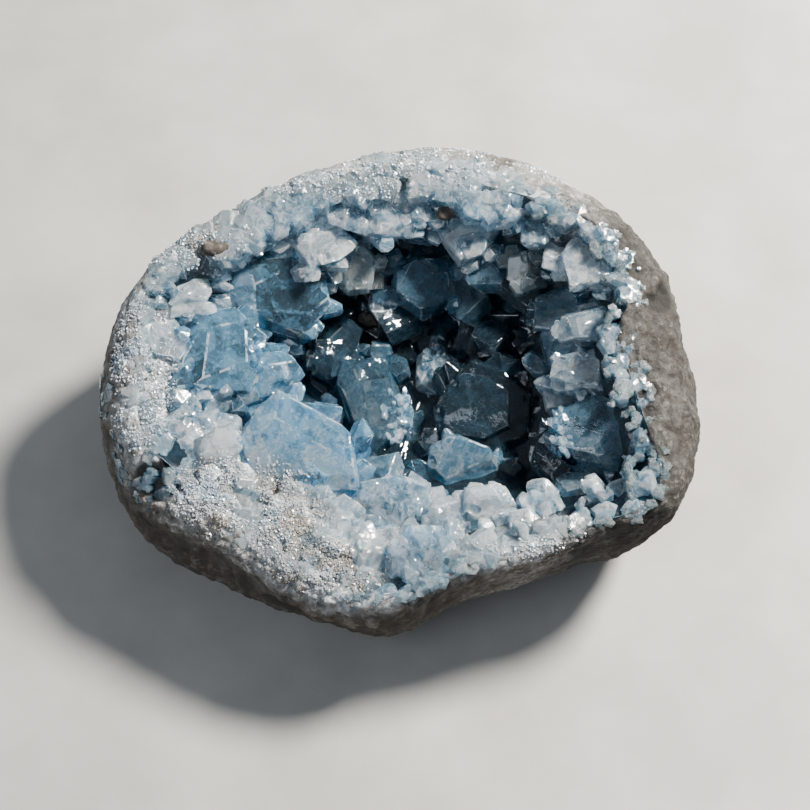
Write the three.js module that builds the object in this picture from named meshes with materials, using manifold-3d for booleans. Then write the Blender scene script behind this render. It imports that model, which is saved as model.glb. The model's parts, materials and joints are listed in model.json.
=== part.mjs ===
// Celestite geode: a ground, egg-shaped rock with an open hollow full of blue crystals.
// Millimetres, +Z up. The origin is the centre of the flat foot that the geode rests on.
// Azimuth 0 is +X (the viewer's right), and azimuth 270 is -Y (the viewer's side).

import * as THREE from "three";
import { ConvexGeometry } from "three/addons/geometries/ConvexGeometry.js";
import { mergeVertices } from "three/addons/utils/BufferGeometryUtils.js";
import Module from "manifold-3d";

// Driving dimensions of the rock. Each list has one value for every 15 degrees of azimuth.
const GIRTH = [
  74.5, 73, 69, 68, 68, 62.5, 59, 57, 58.5, 62.5, 68.5, 71.5,
  74.5, 72.5, 70, 63, 61, 60, 60.5, 56.5, 58, 64, 74.5, 75,
];
const MOUTH = [
  54, 58, 57.5, 51, 46.5, 47, 47, 47, 48.5, 51, 56.5, 64,
  61.5, 63.5, 57, 53.5, 53.5, 56, 56.5, 52.5, 54, 60, 70.5, 60,
];
// Height of the widest ring, as a share of the rim's height.
const GIRTH_LEVEL = [
  0.62, 0.62, 0.62, 0.62, 0.62, 0.62, 0.62, 0.6, 0.58, 0.55, 0.5, 0.48,
  0.48, 0.48, 0.48, 0.48, 0.52, 0.66, 0.8, 0.86, 0.86, 0.84, 0.78, 0.7,
];
const RIM = { height: 49, slopeX: 0.07, slopeY: 0.26 }; // the tilted plane of the mouth
const FOOT_SHARE = 0.52; // foot radius as a share of the girth
const LOWER_ROUNDING = 0.9; // powers under 1 make the ellipse arcs squarer
const UPPER_ROUNDING = 0.85;
const LUMP_HEIGHT = 0.7; // mm, long waves of the rock's outside

const AROUND_STEPS = 60;
const LOWER_ROWS = 8;
const UPPER_ROWS = 4;

// The hollow in the rock: shares of the way from its floor to the mouth, sideways and upwards.
const HOLLOW_FLOOR = [7, 5, 12];
const HOLLOW_PROFILE = [
  [1, 1], [0.965, 0.84], [0.92, 0.66], [0.85, 0.46], [0.73, 0.27], [0.54, 0.12], [0.3, 0.03],
];
const GAP = 0.35; // between rock and crust
const CAP_CROWN = 4; // how far the crust may stand above the mouth's plane
const CAP_EDGE = 8; // a higher power makes the cap's edge steeper
const CAP_ROWS = 4;
const OPEN_HEIGHT = 40; // how far above the rim the open space is carried up

// The crust: a lining of grown-together crystal with single crystals on it.
const FOCUS = [6, 2, 78]; // the crystals grow from the wall towards this point
const LINING_SHARES = [0.05, 0.14]; // its thickness at the mouth and the floor, as shares of that way
const CROWN_REACH = 40; // how far a crystal's body goes down from its crown
const FLATNESS = 0.06; // faces closer to one plane than this are joined
const SAME_POINT = 1e-4; // points closer than this are one
const TOLERANCE = 1e-6;

const RIGHT_ANGLE = Math.PI / 2;
const FULL_TURN = 2 * Math.PI;
const radians = (degrees) => (degrees * Math.PI) / 180;

// The value of a list at an azimuth, on a smooth closed curve through its values.
function around(list, azimuth) {
  const count = list.length;
  const place = ((((azimuth / FULL_TURN) * count) % count) + count) % count;
  const first = Math.floor(place);
  const t = place - first;
  const [a, b, c, d] = [-1, 0, 1, 2].map((step) => list[(first + step + count) % count]);
  const cubic = 3 * b - a - 3 * c + d;
  return 0.5 * (2 * b + (c - a) * t + (2 * a - 5 * b + 4 * c - d) * t * t + cubic * t * t * t);
}

const rimHeight = (x, y) => RIM.height + RIM.slopeX * x + RIM.slopeY * y;

// Long waves of the rock's outside, none at the foot and at the mouth.
function lump(azimuth, share) {
  const wave =
    Math.sin(5 * azimuth + 7 * share) + Math.sin(8 * azimuth - 5 * share + 1) * Math.sin(9 * share + 2);
  return LUMP_HEIGHT * wave * Math.sin(Math.PI * share);
}

// One ring of the rock's outside: arc 0 to 1 goes from the foot to the girth, 1 to 2 to the mouth.
function outsidePoint(azimuth, arc) {
  const girth = around(GIRTH, azimuth);
  const mouth = around(MOUTH, azimuth);
  const top = rimHeight(mouth * Math.cos(azimuth), mouth * Math.sin(azimuth));
  const level = top * around(GIRTH_LEVEL, azimuth);
  const foot = FOOT_SHARE * girth;
  const lower = RIGHT_ANGLE * (1 - arc);
  const upper = RIGHT_ANGLE * (arc - 1);
  const isLower = arc <= 1;
  const reach = isLower
    ? foot + (girth - foot) * Math.cos(lower) ** LOWER_ROUNDING
    : mouth + (girth - mouth) * Math.max(Math.cos(upper), 0) ** UPPER_ROUNDING;
  const height = isLower
    ? level * (1 - Math.sin(lower) ** LOWER_ROUNDING)
    : level + (top - level) * Math.sin(upper) ** UPPER_ROUNDING;
  const radius = reach + lump(azimuth, arc / 2);
  return [radius * Math.cos(azimuth), radius * Math.sin(azimuth), height];
}

// A point of the hollow's wall, moved inwards by a gap.
function hollowPoint(azimuth, [sideways, upwards], gap) {
  const mouth = around(MOUTH, azimuth);
  const rim = [mouth * Math.cos(azimuth), mouth * Math.sin(azimuth)];
  const top = rimHeight(...rim);
  const [floorX, floorY, floorZ] = HOLLOW_FLOOR;
  const x = floorX + (rim[0] - floorX) * sideways;
  const y = floorY + (rim[1] - floorY) * sideways;
  const z = floorZ + (top - floorZ) * upwards;
  const level = 1 - upwards; // near the floor the gap is upwards, near the mouth sideways
  const away = Math.hypot(x - floorX, y - floorY);
  const pull = 1 - (gap * (1 - 0.5 * level)) / away;
  return [floorX + (x - floorX) * pull, floorY + (y - floorY) * pull, z + gap * level];
}

const ring = (pointAt) =>
  Array.from({ length: AROUND_STEPS }, (_, k) => pointAt((FULL_TURN * k) / AROUND_STEPS));

// A closed mesh from rings in order, with a middle point at each end.
function ringsToGeometry(rings, firstMiddle, lastMiddle) {
  const points = [firstMiddle, ...rings.flat(), lastMiddle];
  const faces = [];
  const at = (row, k) => 1 + row * AROUND_STEPS + (k % AROUND_STEPS);
  const last = rings.length - 1;
  for (let k = 0; k < AROUND_STEPS; k++) {
    faces.push(0, at(0, k + 1), at(0, k));
    for (let row = 0; row < last; row++) {
      faces.push(at(row, k), at(row, k + 1), at(row + 1, k + 1));
      faces.push(at(row, k), at(row + 1, k + 1), at(row + 1, k));
    }
    faces.push(points.length - 1, at(last, k), at(last, k + 1));
  }
  const geometry = new THREE.BufferGeometry();
  geometry.setAttribute("position", new THREE.Float32BufferAttribute(points.flat(), 3));
  return geometry.setIndex(faces);
}

const wasm = await Module();
wasm.setup();

// A closed geometry as a solid that can be joined and cut.
function toSolid(geometry) {
  const bare = geometry.clone();
  bare.deleteAttribute("normal");
  bare.deleteAttribute("uv");
  const merged = mergeVertices(bare, SAME_POINT);
  return new wasm.Manifold(
    new wasm.Mesh({
      numProp: 3,
      vertProperties: merged.attributes.position.array,
      triVerts: new Uint32Array(merged.index.array),
    }),
  );
}

// A solid as a geometry with flat faces.
function toGeometry(solid) {
  const mesh = solid.getMesh();
  const positions = new Float32Array(mesh.numVert * 3);
  for (let i = 0; i < mesh.numVert; i++)
    for (let axis = 0; axis < 3; axis++)
      positions[3 * i + axis] = mesh.vertProperties[mesh.numProp * i + axis];
  const indexed = new THREE.BufferGeometry();
  indexed.setAttribute("position", new THREE.BufferAttribute(positions, 3));
  indexed.setIndex(new THREE.BufferAttribute(new Uint32Array(mesh.triVerts), 1));
  const flat = indexed.toNonIndexed();
  flat.computeVertexNormals();
  return flat;
}

// The crystals that the eye finds first. at is the middle of the crown (x, y, z), lean is the
// crown's slope towards +X and +Y, and crown is its outline seen square on: to the right, away
// from the viewer, and the width of the bevel along the side that starts there.
const CRYSTALS = [
  // front left: the largest, with a bright bevel along its right
  { name: "great", at: [-22, -18, 39], lean: [0.05, -0.4],
    crown: [[-15, 0, 1], [-10, 9, 1], [-3, 15, 5], [12, 7, 3], [15, -2, 2], [15, -11, 2], [-9, -11, 1]] },
  // left wall
  { name: "left_upper", at: [-28, 20, 44], lean: [0.1, -0.45],
    crown: [[-12, 1, 2], [-11, 8, 1], [3, 11, 1], [11, 6, 1], [13, -3, 1.5], [6, -11, 3], [-9, -7, 3]] },
  { name: "left_middle", at: [-41, 5, 42], lean: [0.25, -0.3],
    crown: [[-12, -10, 1], [-9, 2, 1.5], [-6, 10, 2], [3, 12, 2], [11, 5, 1.5], [8, -10, 1]] },
  { name: "left_inner", at: [-26, 2, 37], lean: [0.3, -0.3],
    crown: [[-8, -7, 1], [-7, 5, 1], [-1, 6, 1], [6, 1, 2], [1, -6, 1.5]] },
  { name: "left_rim", at: [-51, 19, 47], lean: [0.1, -0.15],
    crown: [[-8, 0, 1], [-3, 4, 1], [6, 5, 1], [7, 0, 1.5], [5, -4, 2], [-5, -4.5, 1]] },
  { name: "left_end", at: [-55.5, 7, 44], lean: [0.2, -0.1],
    crown: [[-7, -5, 1], [-6, 5, 1], [2, 6, 1], [6, 0, 1.5], [4, -7, 1.5]] },
  // back left
  { name: "back_pale", at: [-28, 33, 52], lean: [0.1, -0.15],
    crown: [[-6, 0, 1], [-5, 6, 1], [2, 9, 1], [6, 6, 1.5], [3, -2, 1.5], [-3, -6, 1]] },
  { name: "back_block", at: [-16, 28.5, 51], lean: [0.15, -0.2],
    crown: [[-8, 0, 1], [-4, 6, 1.5], [3, 6.5, 1], [8, 2, 1], [2, -3.5, 2], [-4, -6, 1]] },
  { name: "back_rounded", at: [0, 33, 54.5], lean: [0.05, -0.2],
    crown: [[-7, -3, 2], [-6, 4, 2], [1, 6, 2], [7, 2, 2], [5, -4, 2], [-2, -5, 2]] },
  { name: "back_tall", at: [6, 37, 56.5], lean: [0, -0.2],
    crown: [[-4, 1, 1], [-2, 5, 1], [4, 3, 1], [5, -1, 1], [1, -5, 1.5], [-3, -3, 1]] },
  { name: "back_stained", at: [-9, 27, 44.5], lean: [0.1, -0.4],
    crown: [[-6, -3, 1.5], [-5, 6, 1.5], [1, 8, 1], [5, 3, 1.5], [4, -6, 2], [-2, -7, 1]] },
  // back middle, on the deep wall
  { name: "deep_dark", at: [-3, 27, 34], lean: [0.1, -0.6],
    crown: [[-4, -5, 1.5], [-4, 4, 1.5], [1, 7, 1.5], [5, 2, 1.5], [4, -5, 1.5], [0, -7, 1]] },
  { name: "deep_large", at: [7, 25.5, 39.5], lean: [0.1, -0.5],
    crown: [[-9, -3, 2.5], [-7, 6, 3], [2, 9.5, 2.5], [9, 4, 3], [8, -5, 3], [0, -9, 2.5]] },
  { name: "deep_small", at: [4, 22, 29], lean: [0.2, -0.5],
    crown: [[-4, 0, 1], [-1, 3.5, 1], [3, 2, 1], [4, -2, 1], [-1, -3.5, 1]] },
  { name: "back_rhomb", at: [17, 30, 52], lean: [-0.05, -0.3],
    crown: [[-8, 3, 1], [-3, 7, 1], [4, 7.5, 1], [9, 3, 1.5], [5, -3.5, 2], [-2, -7, 2.5], [-6, -1, 1]] },
  { name: "back_right_a", at: [27, 34, 58], lean: [-0.05, -0.15],
    crown: [[-4, -2, 1], [-3, 4, 1], [2, 5, 1], [5, 0, 1], [1, -4, 1.5]] },
  { name: "back_right_b", at: [33, 30, 56], lean: [-0.15, -0.15],
    crown: [[-4, -3, 1], [-4, 3, 1], [1, 5.5, 1], [5, 1, 1], [3, -4, 1.5]] },
  { name: "back_right_brown", at: [30, 24.5, 48], lean: [-0.15, -0.35],
    crown: [[-4, -2, 1], [-3, 4, 1], [2, 5, 1], [4, 0, 1], [1, -5, 1.5]] },
  { name: "back_right_light", at: [39, 24, 53], lean: [-0.2, -0.2],
    crown: [[-4, -3, 1], [-3, 3, 1], [3, 4, 1], [5, -1, 1], [1, -4, 1]] },
  // right wall
  { name: "right_back_mass", at: [46, 22.5, 55.5], lean: [-0.15, -0.15],
    crown: [[-5, -9, 1], [-6, 4, 1.5], [0, 10, 1], [5, 6, 1], [6, -6, 1.5]] },
  { name: "right_upper", at: [40, 15, 45.5], lean: [-0.3, -0.25],
    crown: [[-7, -5, 1], [-6, 4, 1.5], [1, 6, 1], [8, 3, 1], [8, -5, 1.5], [0, -7, 1]] },
  { name: "right_shelf", at: [46, 8, 49.5], lean: [-0.25, -0.2],
    crown: [[-8, -4, 1], [-7, 3, 1.5], [3, 5, 1], [8, 1, 1], [6, -5, 1]] },
  { name: "right_white_edge", at: [45, -2.5, 44.5], lean: [-0.35, -0.25],
    crown: [[-9, -4, 1.5], [-8, 4, 2.5], [2, 7, 1.5], [9, 3, 1], [8, -6, 1.5], [-2, -6, 1]] },
  { name: "right_large", at: [48, -16.5, 42], lean: [-0.2, -0.3],
    crown: [[-12, -5, 1.5], [-9, 6, 2], [0, 9.5, 1.5], [11, 6, 1], [12, -4, 1], [3, -9, 1.5]] },
  { name: "right_inner", at: [38, -19, 34], lean: [-0.3, -0.35],
    crown: [[-6, -3, 1], [-4, 6, 1], [3, 7, 1], [6, -1, 1.5], [0, -8, 1.5]] },
  { name: "right_grey", at: [57, -33, 41], lean: [-0.1, -0.1],
    crown: [[-9, -3, 1], [-8, 4, 1], [-2, 6, 1], [4, 5, 1], [6, 0, 1], [1, -6, 1], [-5, -6, 1]] },
  { name: "right_front_long", at: [45, -38.5, 35.5], lean: [-0.2, -0.1],
    crown: [[-3, -6, 1], [-3, 3, 1], [0, 7, 1], [3, 3, 1], [3, -5, 1]] },
  { name: "right_front_small", at: [52, -37.5, 38.5], lean: [-0.1, -0.05],
    crown: [[-4, -1, 1], [-1, 3.5, 1], [4, 2, 1], [3, -3, 1]] },
  { name: "right_front_tip", at: [59, -36, 41], lean: [-0.1, 0],
    crown: [[-4, -1, 1], [-2, 3, 1], [3, 3, 1], [4, -1, 1], [0, -4, 1]] },
  // middle of the floor
  { name: "middle_spark", at: [11, 10, 25], lean: [0.25, -0.4],
    crown: [[-6, -5, 1.5], [-6, 4, 1.5], [0, 8, 2], [6, 2, 2], [3, -8, 1.5]] },
  { name: "middle_large", at: [21, -2, 30], lean: [-0.1, -0.4],
    crown: [[-12, -1, 1.5], [-3, 12, 2], [6, 9, 1.5], [13, 2, 1.5], [11, -10, 2.5], [2, -13, 2], [-11, -9, 1]] },
  { name: "middle_right", at: [33, -1, 27], lean: [-0.3, -0.4],
    crown: [[-4, -6, 1], [-3, 6, 1], [2, 7, 1], [5, -1, 1], [2, -8, 1]] },
  { name: "middle_front", at: [16, -18, 27], lean: [-0.05, -0.5],
    crown: [[-9, -4, 1.5], [-8, 5, 1.5], [-1, 8, 1.5], [9, 4, 1.5], [9, -4, 2], [0, -8, 1]] },
  { name: "middle_left", at: [-5, -3, 28], lean: [0.25, -0.45],
    crown: [[-11, 2, 1.5], [-8, 13, 1.5], [3, 14, 2], [9, 3, 4], [12, -7, 2], [-3, -13, 1.5], [-6, -4, 1]] },
  { name: "middle_blade", at: [-14, 8, 31], lean: [0.3, -0.4],
    crown: [[-7, -3, 1], [-6, 6, 1], [3, 8, 1], [7, 0, 1.5], [0, -6, 1]] },
  // front wall
  { name: "front_inner", at: [-1, -31, 32.5], lean: [0, -0.3],
    crown: [[-11, -3, 1], [-9, 5, 1.5], [1, 7, 1], [10, 4, 1], [9, -4, 1], [-2, -6.5, 1.5]] },
  { name: "front_pale", at: [-12, -36, 35], lean: [0.05, -0.2],
    crown: [[-6, -4, 1], [-6, 3, 1], [0, 5.5, 1], [6, 2, 1], [5, -5, 1]] },
  { name: "front_clear", at: [12, -35, 34], lean: [0.05, -0.25],
    crown: [[-6, -4, 1], [-6, 4, 1.5], [1, 6, 1], [6, 2, 1], [5, -5, 1]] },
  { name: "front_ridge", at: [22, -33, 36], lean: [-0.1, -0.1],
    crown: [[-7, -3, 1], [-6, 4, 1], [4, 5, 1], [7, -1, 1], [2, -5, 1]] },
  { name: "front_lump_a", at: [30, -40, 38], lean: [-0.1, -0.1],
    crown: [[-5, -4, 1.5], [-4, 4, 1.5], [2, 5, 1.5], [6, 0, 1.5], [2, -6, 1.5]] },
  { name: "front_lump_b", at: [38, -41.5, 38.5], lean: [-0.1, 0],
    crown: [[-5, -2, 1.5], [-3, 4, 1.5], [3, 4, 1.5], [6, -1, 1.5], [0, -4, 1.5]] },
  { name: "front_block", at: [8, -46, 38.5], lean: [0, -0.25],
    crown: [[-8, 0, 1], [-6, 6, 1.5], [5, 6, 1], [8, 1, 1.5], [1, -7, 1.5]] },
  { name: "front_left_pale", at: [-24, -38, 37], lean: [0.1, -0.2],
    crown: [[-7, -3, 1], [-5, 4, 1], [3, 5, 1], [7, -1, 1], [1, -5, 1]] },
  { name: "left_front_pale", at: [-40, -20, 40], lean: [0.15, -0.2],
    crown: [[-6, -3, 1], [-5, 4, 1], [3, 5, 1], [6, 0, 1], [1, -5, 1]] },
];

// A crystal's crown as its middle, its normal, its two directions and its corners, and the
// direction that the crystal grows in.
function crystalFrame({ at, lean, crown }) {
  const middle = new THREE.Vector3(...at);
  const normal = new THREE.Vector3(lean[0], lean[1], 1).normalize();
  const right = new THREE.Vector3(1, 0, 0).addScaledVector(normal, -normal.x).normalize();
  const away = new THREE.Vector3().crossVectors(normal, right);
  const axis = new THREE.Vector3(...FOCUS).sub(middle).normalize();
  const corners = crown.map(([u, v]) => middle.clone().addScaledVector(right, u).addScaledVector(away, v));
  return { middle, normal, right, away, axis, corners };
}

// The planes of one crystal: its crown, a bevel and a wall for each side of it, and its root.
function crystalPlanes(crystal) {
  const { middle, normal, axis, corners } = crystalFrame(crystal);
  const root = middle.clone().addScaledVector(axis, -crystal.reach);
  const planes = [
    { normal, offset: normal.dot(middle) },
    { normal: axis.clone().negate(), offset: -axis.dot(root) },
  ];
  corners.forEach((start, i) => {
    const edge = corners[(i + 1) % corners.length].clone().sub(start).normalize();
    const wall = new THREE.Vector3().crossVectors(axis, edge).normalize();
    planes.push({ normal: wall, offset: wall.dot(start) });
    const width = crystal.crown[i][2];
    if (!width) return;
    const bevel = wall.clone().add(normal).normalize();
    const inward = new THREE.Vector3().crossVectors(edge, normal).normalize();
    planes.push({ normal: bevel, offset: bevel.dot(start.clone().addScaledVector(inward, width)) });
  });
  return planes;
}

// The convex body inside a set of planes, from the points where three of them meet.
function bodyInside(planes) {
  const corners = [];
  for (let i = 0; i < planes.length; i++)
    for (let j = i + 1; j < planes.length; j++)
      for (let k = j + 1; k < planes.length; k++) {
        const point = meetingPoint(planes[i], planes[j], planes[k]);
        if (point && planes.every((p) => p.normal.dot(point) < p.offset + TOLERANCE)) corners.push(point);
      }
  return new ConvexGeometry(corners);
}

function meetingPoint(a, b, c) {
  const cross = new THREE.Vector3().crossVectors(b.normal, c.normal);
  const volume = a.normal.dot(cross);
  if (Math.abs(volume) < TOLERANCE) return null;
  return cross
    .multiplyScalar(a.offset)
    .addScaledVector(new THREE.Vector3().crossVectors(c.normal, a.normal), b.offset)
    .addScaledVector(new THREE.Vector3().crossVectors(a.normal, b.normal), c.offset)
    .divideScalar(volume);
}

// Numbers between 0 and 1 that look random and are the same on every run.
const CHANCE_FACTOR = 16807;
const CHANCE_LIMIT = 2147483647;

function seededChance(seed) {
  let state = seed;
  return () => {
    state = (state * CHANCE_FACTOR) % CHANCE_LIMIT;
    return state / CHANCE_LIMIT;
  };
}

// Smaller crystals fill the wall between the others. level is a place in HOLLOW_PROFILE, counted
// down from the mouth, size is half a crown's breadth, and stand is how far it stands out.
const FILL_SEED = 4291;
const FILL_ROWS = [
  { level: 0.2, count: 40, size: 4.2, stand: 4.5 },
  { level: 0.9, count: 32, size: 4.6, stand: 6.5 },
  { level: 1.8, count: 22, size: 5.2, stand: 6 },
  { level: 2.9, count: 14, size: 6, stand: 6 },
  { level: 3.9, count: 10, size: 6.5, stand: 6 },
  { level: 4.9, count: 6, size: 6.5, stand: 6 },
];
const FILL_REACH = 18;
// How much each is moved by chance: round the wall and down it, as shares of a place.
const AROUND_SPREAD = 0.7;
const DOWN_SPREAD = 0.6;
const LEAN_SHARE = 0.4; // how far a crown turns from level towards the focus
const LEAN_SPREAD = 0.6;
const SIZE_RANGE = [0.8, 1.3];
const STAND_RANGE = [0.5, 1.5];
const RIM_DEPTH_RANGE = [0.6, 3]; // from a crown's upper edge up to the mouth's plane
const LEVEL_STEP = 0.12;
// Crowns of fill crystals: how stretched and uneven, and their bevels, as shares of the size.
const STRETCH = 0.5;
const UNEVENNESS = 0.3;
const BEVEL_SHARE = 0.45;
// A fill crystal that would cover a named one is made smaller, or else left out.
const FITTING_SHARES = [1, 0.8, 0.62, 0.45];
const FILL_MARGIN = 1;
const COVER_HEIGHT = -0.3;
const VIEWER = new THREE.Vector3(0, -0.5, Math.sqrt(0.75));

// A point of the lining's inner face.
function liningPoint(azimuth, level) {
  const place = Math.min(Math.max(level, 0), HOLLOW_PROFILE.length - 1);
  const first = Math.min(Math.floor(place), HOLLOW_PROFILE.length - 2);
  const t = place - first;
  const shares = [0, 1].map((i) => HOLLOW_PROFILE[first][i] * (1 - t) + HOLLOW_PROFILE[first + 1][i] * t);
  return towardsFocus(hollowPoint(azimuth, shares, GAP), shares[1]);
}

// A point of the hollow's wall, moved inwards by the lining's thickness. height is its share of
// the way from the floor to the mouth.
function towardsFocus(point, height) {
  const share = LINING_SHARES[1] + (LINING_SHARES[0] - LINING_SHARES[1]) * height;
  return point.map((value, i) => value + (FOCUS[i] - value) * share);
}

const between = ([low, high], share) => low + (high - low) * share;

// A crown with five or six sides, every other one with a wide bevel.
function randomCrown(size, chance) {
  const sides = chance() < 0.5 ? 5 : 6;
  const turn = FULL_TURN * chance();
  const stretch = 1 + STRETCH * chance();
  const slant = Math.PI * chance();
  return Array.from({ length: sides }, (_, i) => {
    const angle = turn - (FULL_TURN * (i + UNEVENNESS * chance())) / sides;
    const [u, v] = [size * stretch * Math.cos(angle), size * Math.sin(angle)];
    return [
      u * Math.cos(slant) - v * Math.sin(slant),
      u * Math.sin(slant) + v * Math.cos(slant),
      i % 2 ? BEVEL_SHARE * size : 0,
    ];
  });
}

// A crystal on the lining, its crown turned partly towards the focus. Its place goes down the wall
// until all of the crown is under the mouth's plane.
function wallCrystal(azimuth, level, size, stand, chance) {
  const out = stand * between(STAND_RANGE, chance());
  const spread = [LEAN_SPREAD * (chance() - 0.5), LEAN_SPREAD * (chance() - 0.5)];
  const crown = randomCrown(size * between(SIZE_RANGE, chance()), chance);
  const depth = between(RIM_DEPTH_RANGE, chance());
  for (let place = level; ; place += LEVEL_STEP) {
    const wall = liningPoint(azimuth, place);
    const distance = Math.hypot(...wall.map((value, i) => FOCUS[i] - value));
    const axis = wall.map((value, i) => (FOCUS[i] - value) / distance);
    const at = wall.map((value, i) => value + axis[i] * out);
    const lean = [0, 1].map((i) => (LEAN_SHARE * axis[i]) / axis[2] - spread[i]);
    const tilt = Math.hypot(lean[0] + RIM.slopeX, lean[1] + RIM.slopeY);
    if (at[2] + tilt * size < rimHeight(at[0], at[1]) - depth) return { at, lean, crown, reach: FILL_REACH };
  }
}

// Whether a point is in front of a crystal's crown, seen along a direction, and within its outline.
function isBefore(point, direction, crystal) {
  const { middle, normal, right, away } = crystalFrame(crystal);
  const ahead = point.clone().sub(middle).dot(normal) / direction.dot(normal);
  if (ahead <= COVER_HEIGHT) return false;
  const hit = point.clone().addScaledVector(direction, -ahead).sub(middle);
  const [u, v] = [hit.dot(right), hit.dot(away)];
  return crystal.crown.every(([u0, v0], i, crown) => {
    const [u1, v1] = crown[(i + 1) % crown.length];
    const side = (v1 - v0) * (u - u0) - (u1 - u0) * (v - v0);
    return side / Math.hypot(u1 - u0, v1 - v0) > FILL_MARGIN;
  });
}

// Whether a crystal stands on another's crown, or between it and the viewer.
function covers(crystal, other) {
  const { middle, corners } = crystalFrame(crystal);
  const { axis } = crystalFrame(other);
  return [...corners, middle].some((point) => [axis, VIEWER].some((way) => isBefore(point, way, other)));
}

function fitted(crystal) {
  const trials = FITTING_SHARES.map((share) => ({
    ...crystal,
    crown: crystal.crown.map((corner) => corner.map((value) => value * share)),
  }));
  return trials.find((trial) => !CRYSTALS.some((named) => covers(trial, named)));
}

function fillCrystals() {
  const chance = seededChance(FILL_SEED);
  const grown = FILL_ROWS.flatMap(({ level, count, size, stand }) =>
    Array.from({ length: count }, (_, k) => {
      const azimuth = (FULL_TURN * (k + AROUND_SPREAD * chance())) / count;
      const place = level + DOWN_SPREAD * (chance() - 0.5);
      return wallCrystal(azimuth, place, size, stand, chance);
    }),
  );
  return grown.map(fitted).filter(Boolean);
}

// The space inside the hollow's wall, closed by a slightly crowned cap where the mouth was ground.
function hollowSpace() {
  const wall = HOLLOW_PROFILE.map((shares) => ring((azimuth) => hollowPoint(azimuth, shares, GAP)));
  const capRings = Array.from({ length: CAP_ROWS - 1 }, (_, i) => {
    const share = 1 - ((i + 1) / CAP_ROWS) ** 2;
    return wall[0].map(([x, y]) => {
      const rise = CAP_CROWN * (1 - share ** CAP_EDGE);
      return [x * share, y * share, rimHeight(x * share, y * share) + rise];
    });
  });
  const [floorX, floorY, floorZ] = HOLLOW_FLOOR;
  const rings = [...wall.reverse(), ...capRings];
  return toSolid(ringsToGeometry(rings, [floorX, floorY, floorZ + GAP], [0, 0, RIM.height + CAP_CROWN]));
}

// The open space that the lining surrounds, carried up past the cap.
function openSpace() {
  const wall = HOLLOW_PROFILE.map((shares) =>
    ring((azimuth) => towardsFocus(hollowPoint(azimuth, shares, GAP), shares[1])),
  );
  const above = wall[0].map(([x, y, z]) => [x, y, z + OPEN_HEIGHT / 2]);
  const floor = towardsFocus([...HOLLOW_FLOOR.slice(0, 2), HOLLOW_FLOOR[2] + GAP], 0);
  return toSolid(ringsToGeometry([...wall.reverse(), above], floor, [0, 0, RIM.height + OPEN_HEIGHT]));
}

function crustSolid() {
  const named = CRYSTALS.map((crystal) => ({ ...crystal, reach: CROWN_REACH }));
  const bodies = [...named, ...fillCrystals()].map((crystal) => toSolid(bodyInside(crystalPlanes(crystal))));
  const hollow = hollowSpace();
  const grown = wasm.Manifold.union(bodies).intersect(hollow);
  const lining = hollow.subtract(openSpace());
  return outerBody(lining.add(grown).asOriginal().simplify(FLATNESS));
}

// The largest body alone, without loose bits, and with gaps that are closed all round filled.
function outerBody(solid) {
  const bodies = solid.decompose();
  return bodies.reduce((largest, body) => (body.volume() > largest.volume() ? body : largest));
}

// Pits and hollows weathered into the rock: azimuth in degrees, place up the outside as in
// outsidePoint, and half-sizes outwards, sideways and upwards.
const PITS = [
  { azimuth: 207, arc: 1.7, half: [3, 6, 4] },
  { azimuth: 12, arc: 1.6, half: [2, 5, 3] },
  { azimuth: 244, arc: 1.1, half: [1.5, 6, 3] },
  { azimuth: 30, arc: 1.3, half: [1.5, 4, 3] },
  { azimuth: 100, arc: 0.8, half: [2, 7, 4] },
  { azimuth: 172, arc: 0.9, half: [1.5, 5, 5] },
];

function pitSolid({ azimuth, arc, half }) {
  const geometry = new THREE.IcosahedronGeometry(1, 1);
  geometry.scale(...half);
  geometry.rotateZ(radians(azimuth));
  geometry.translate(...outsidePoint(radians(azimuth), arc));
  return toSolid(geometry);
}

function rockSolid() {
  const arcs = [
    ...Array.from({ length: LOWER_ROWS + 1 }, (_, i) => i / LOWER_ROWS),
    ...Array.from({ length: UPPER_ROWS }, (_, i) => 1 + (i + 1) / UPPER_ROWS),
  ];
  const outside = arcs.map((arc) => ring((azimuth) => outsidePoint(azimuth, arc)));
  const inside = HOLLOW_PROFILE.slice(1).map((shares) => ring((azimuth) => hollowPoint(azimuth, shares, 0)));
  const rock = toSolid(ringsToGeometry([...outside, ...inside], [0, 0, 0], HOLLOW_FLOOR));
  return rock.subtract(wasm.Manifold.union(PITS.map(pitSolid)));
}

const rockFinish = new THREE.MeshStandardMaterial({ color: "#a9a7a2", roughness: 0.92, metalness: 0 });
const crystalFinish = new THREE.MeshStandardMaterial({ color: "#8fb2d6", roughness: 0.15, metalness: 0 });

function namedMesh(name, solid, material) {
  const mesh = new THREE.Mesh(toGeometry(solid), material);
  mesh.name = name;
  return mesh;
}

const geode = new THREE.Group();
geode.add(namedMesh("rock_shell", rockSolid(), rockFinish));
geode.add(namedMesh("crystal_crust", crustSolid(), crystalFinish));

export default geode;
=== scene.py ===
"""A celestite geode: a ground oval rock with an open hollow full of clear blue crystals.

Sizes are in millimetres until a mesh is made, and metres after that. +Z is up, and -Y is the
viewer's side. Azimuth 0 is +X. The forms are worked out from the same named values as the solids.
"""

import json
import math
from collections import namedtuple
from itertools import combinations, product

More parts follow.
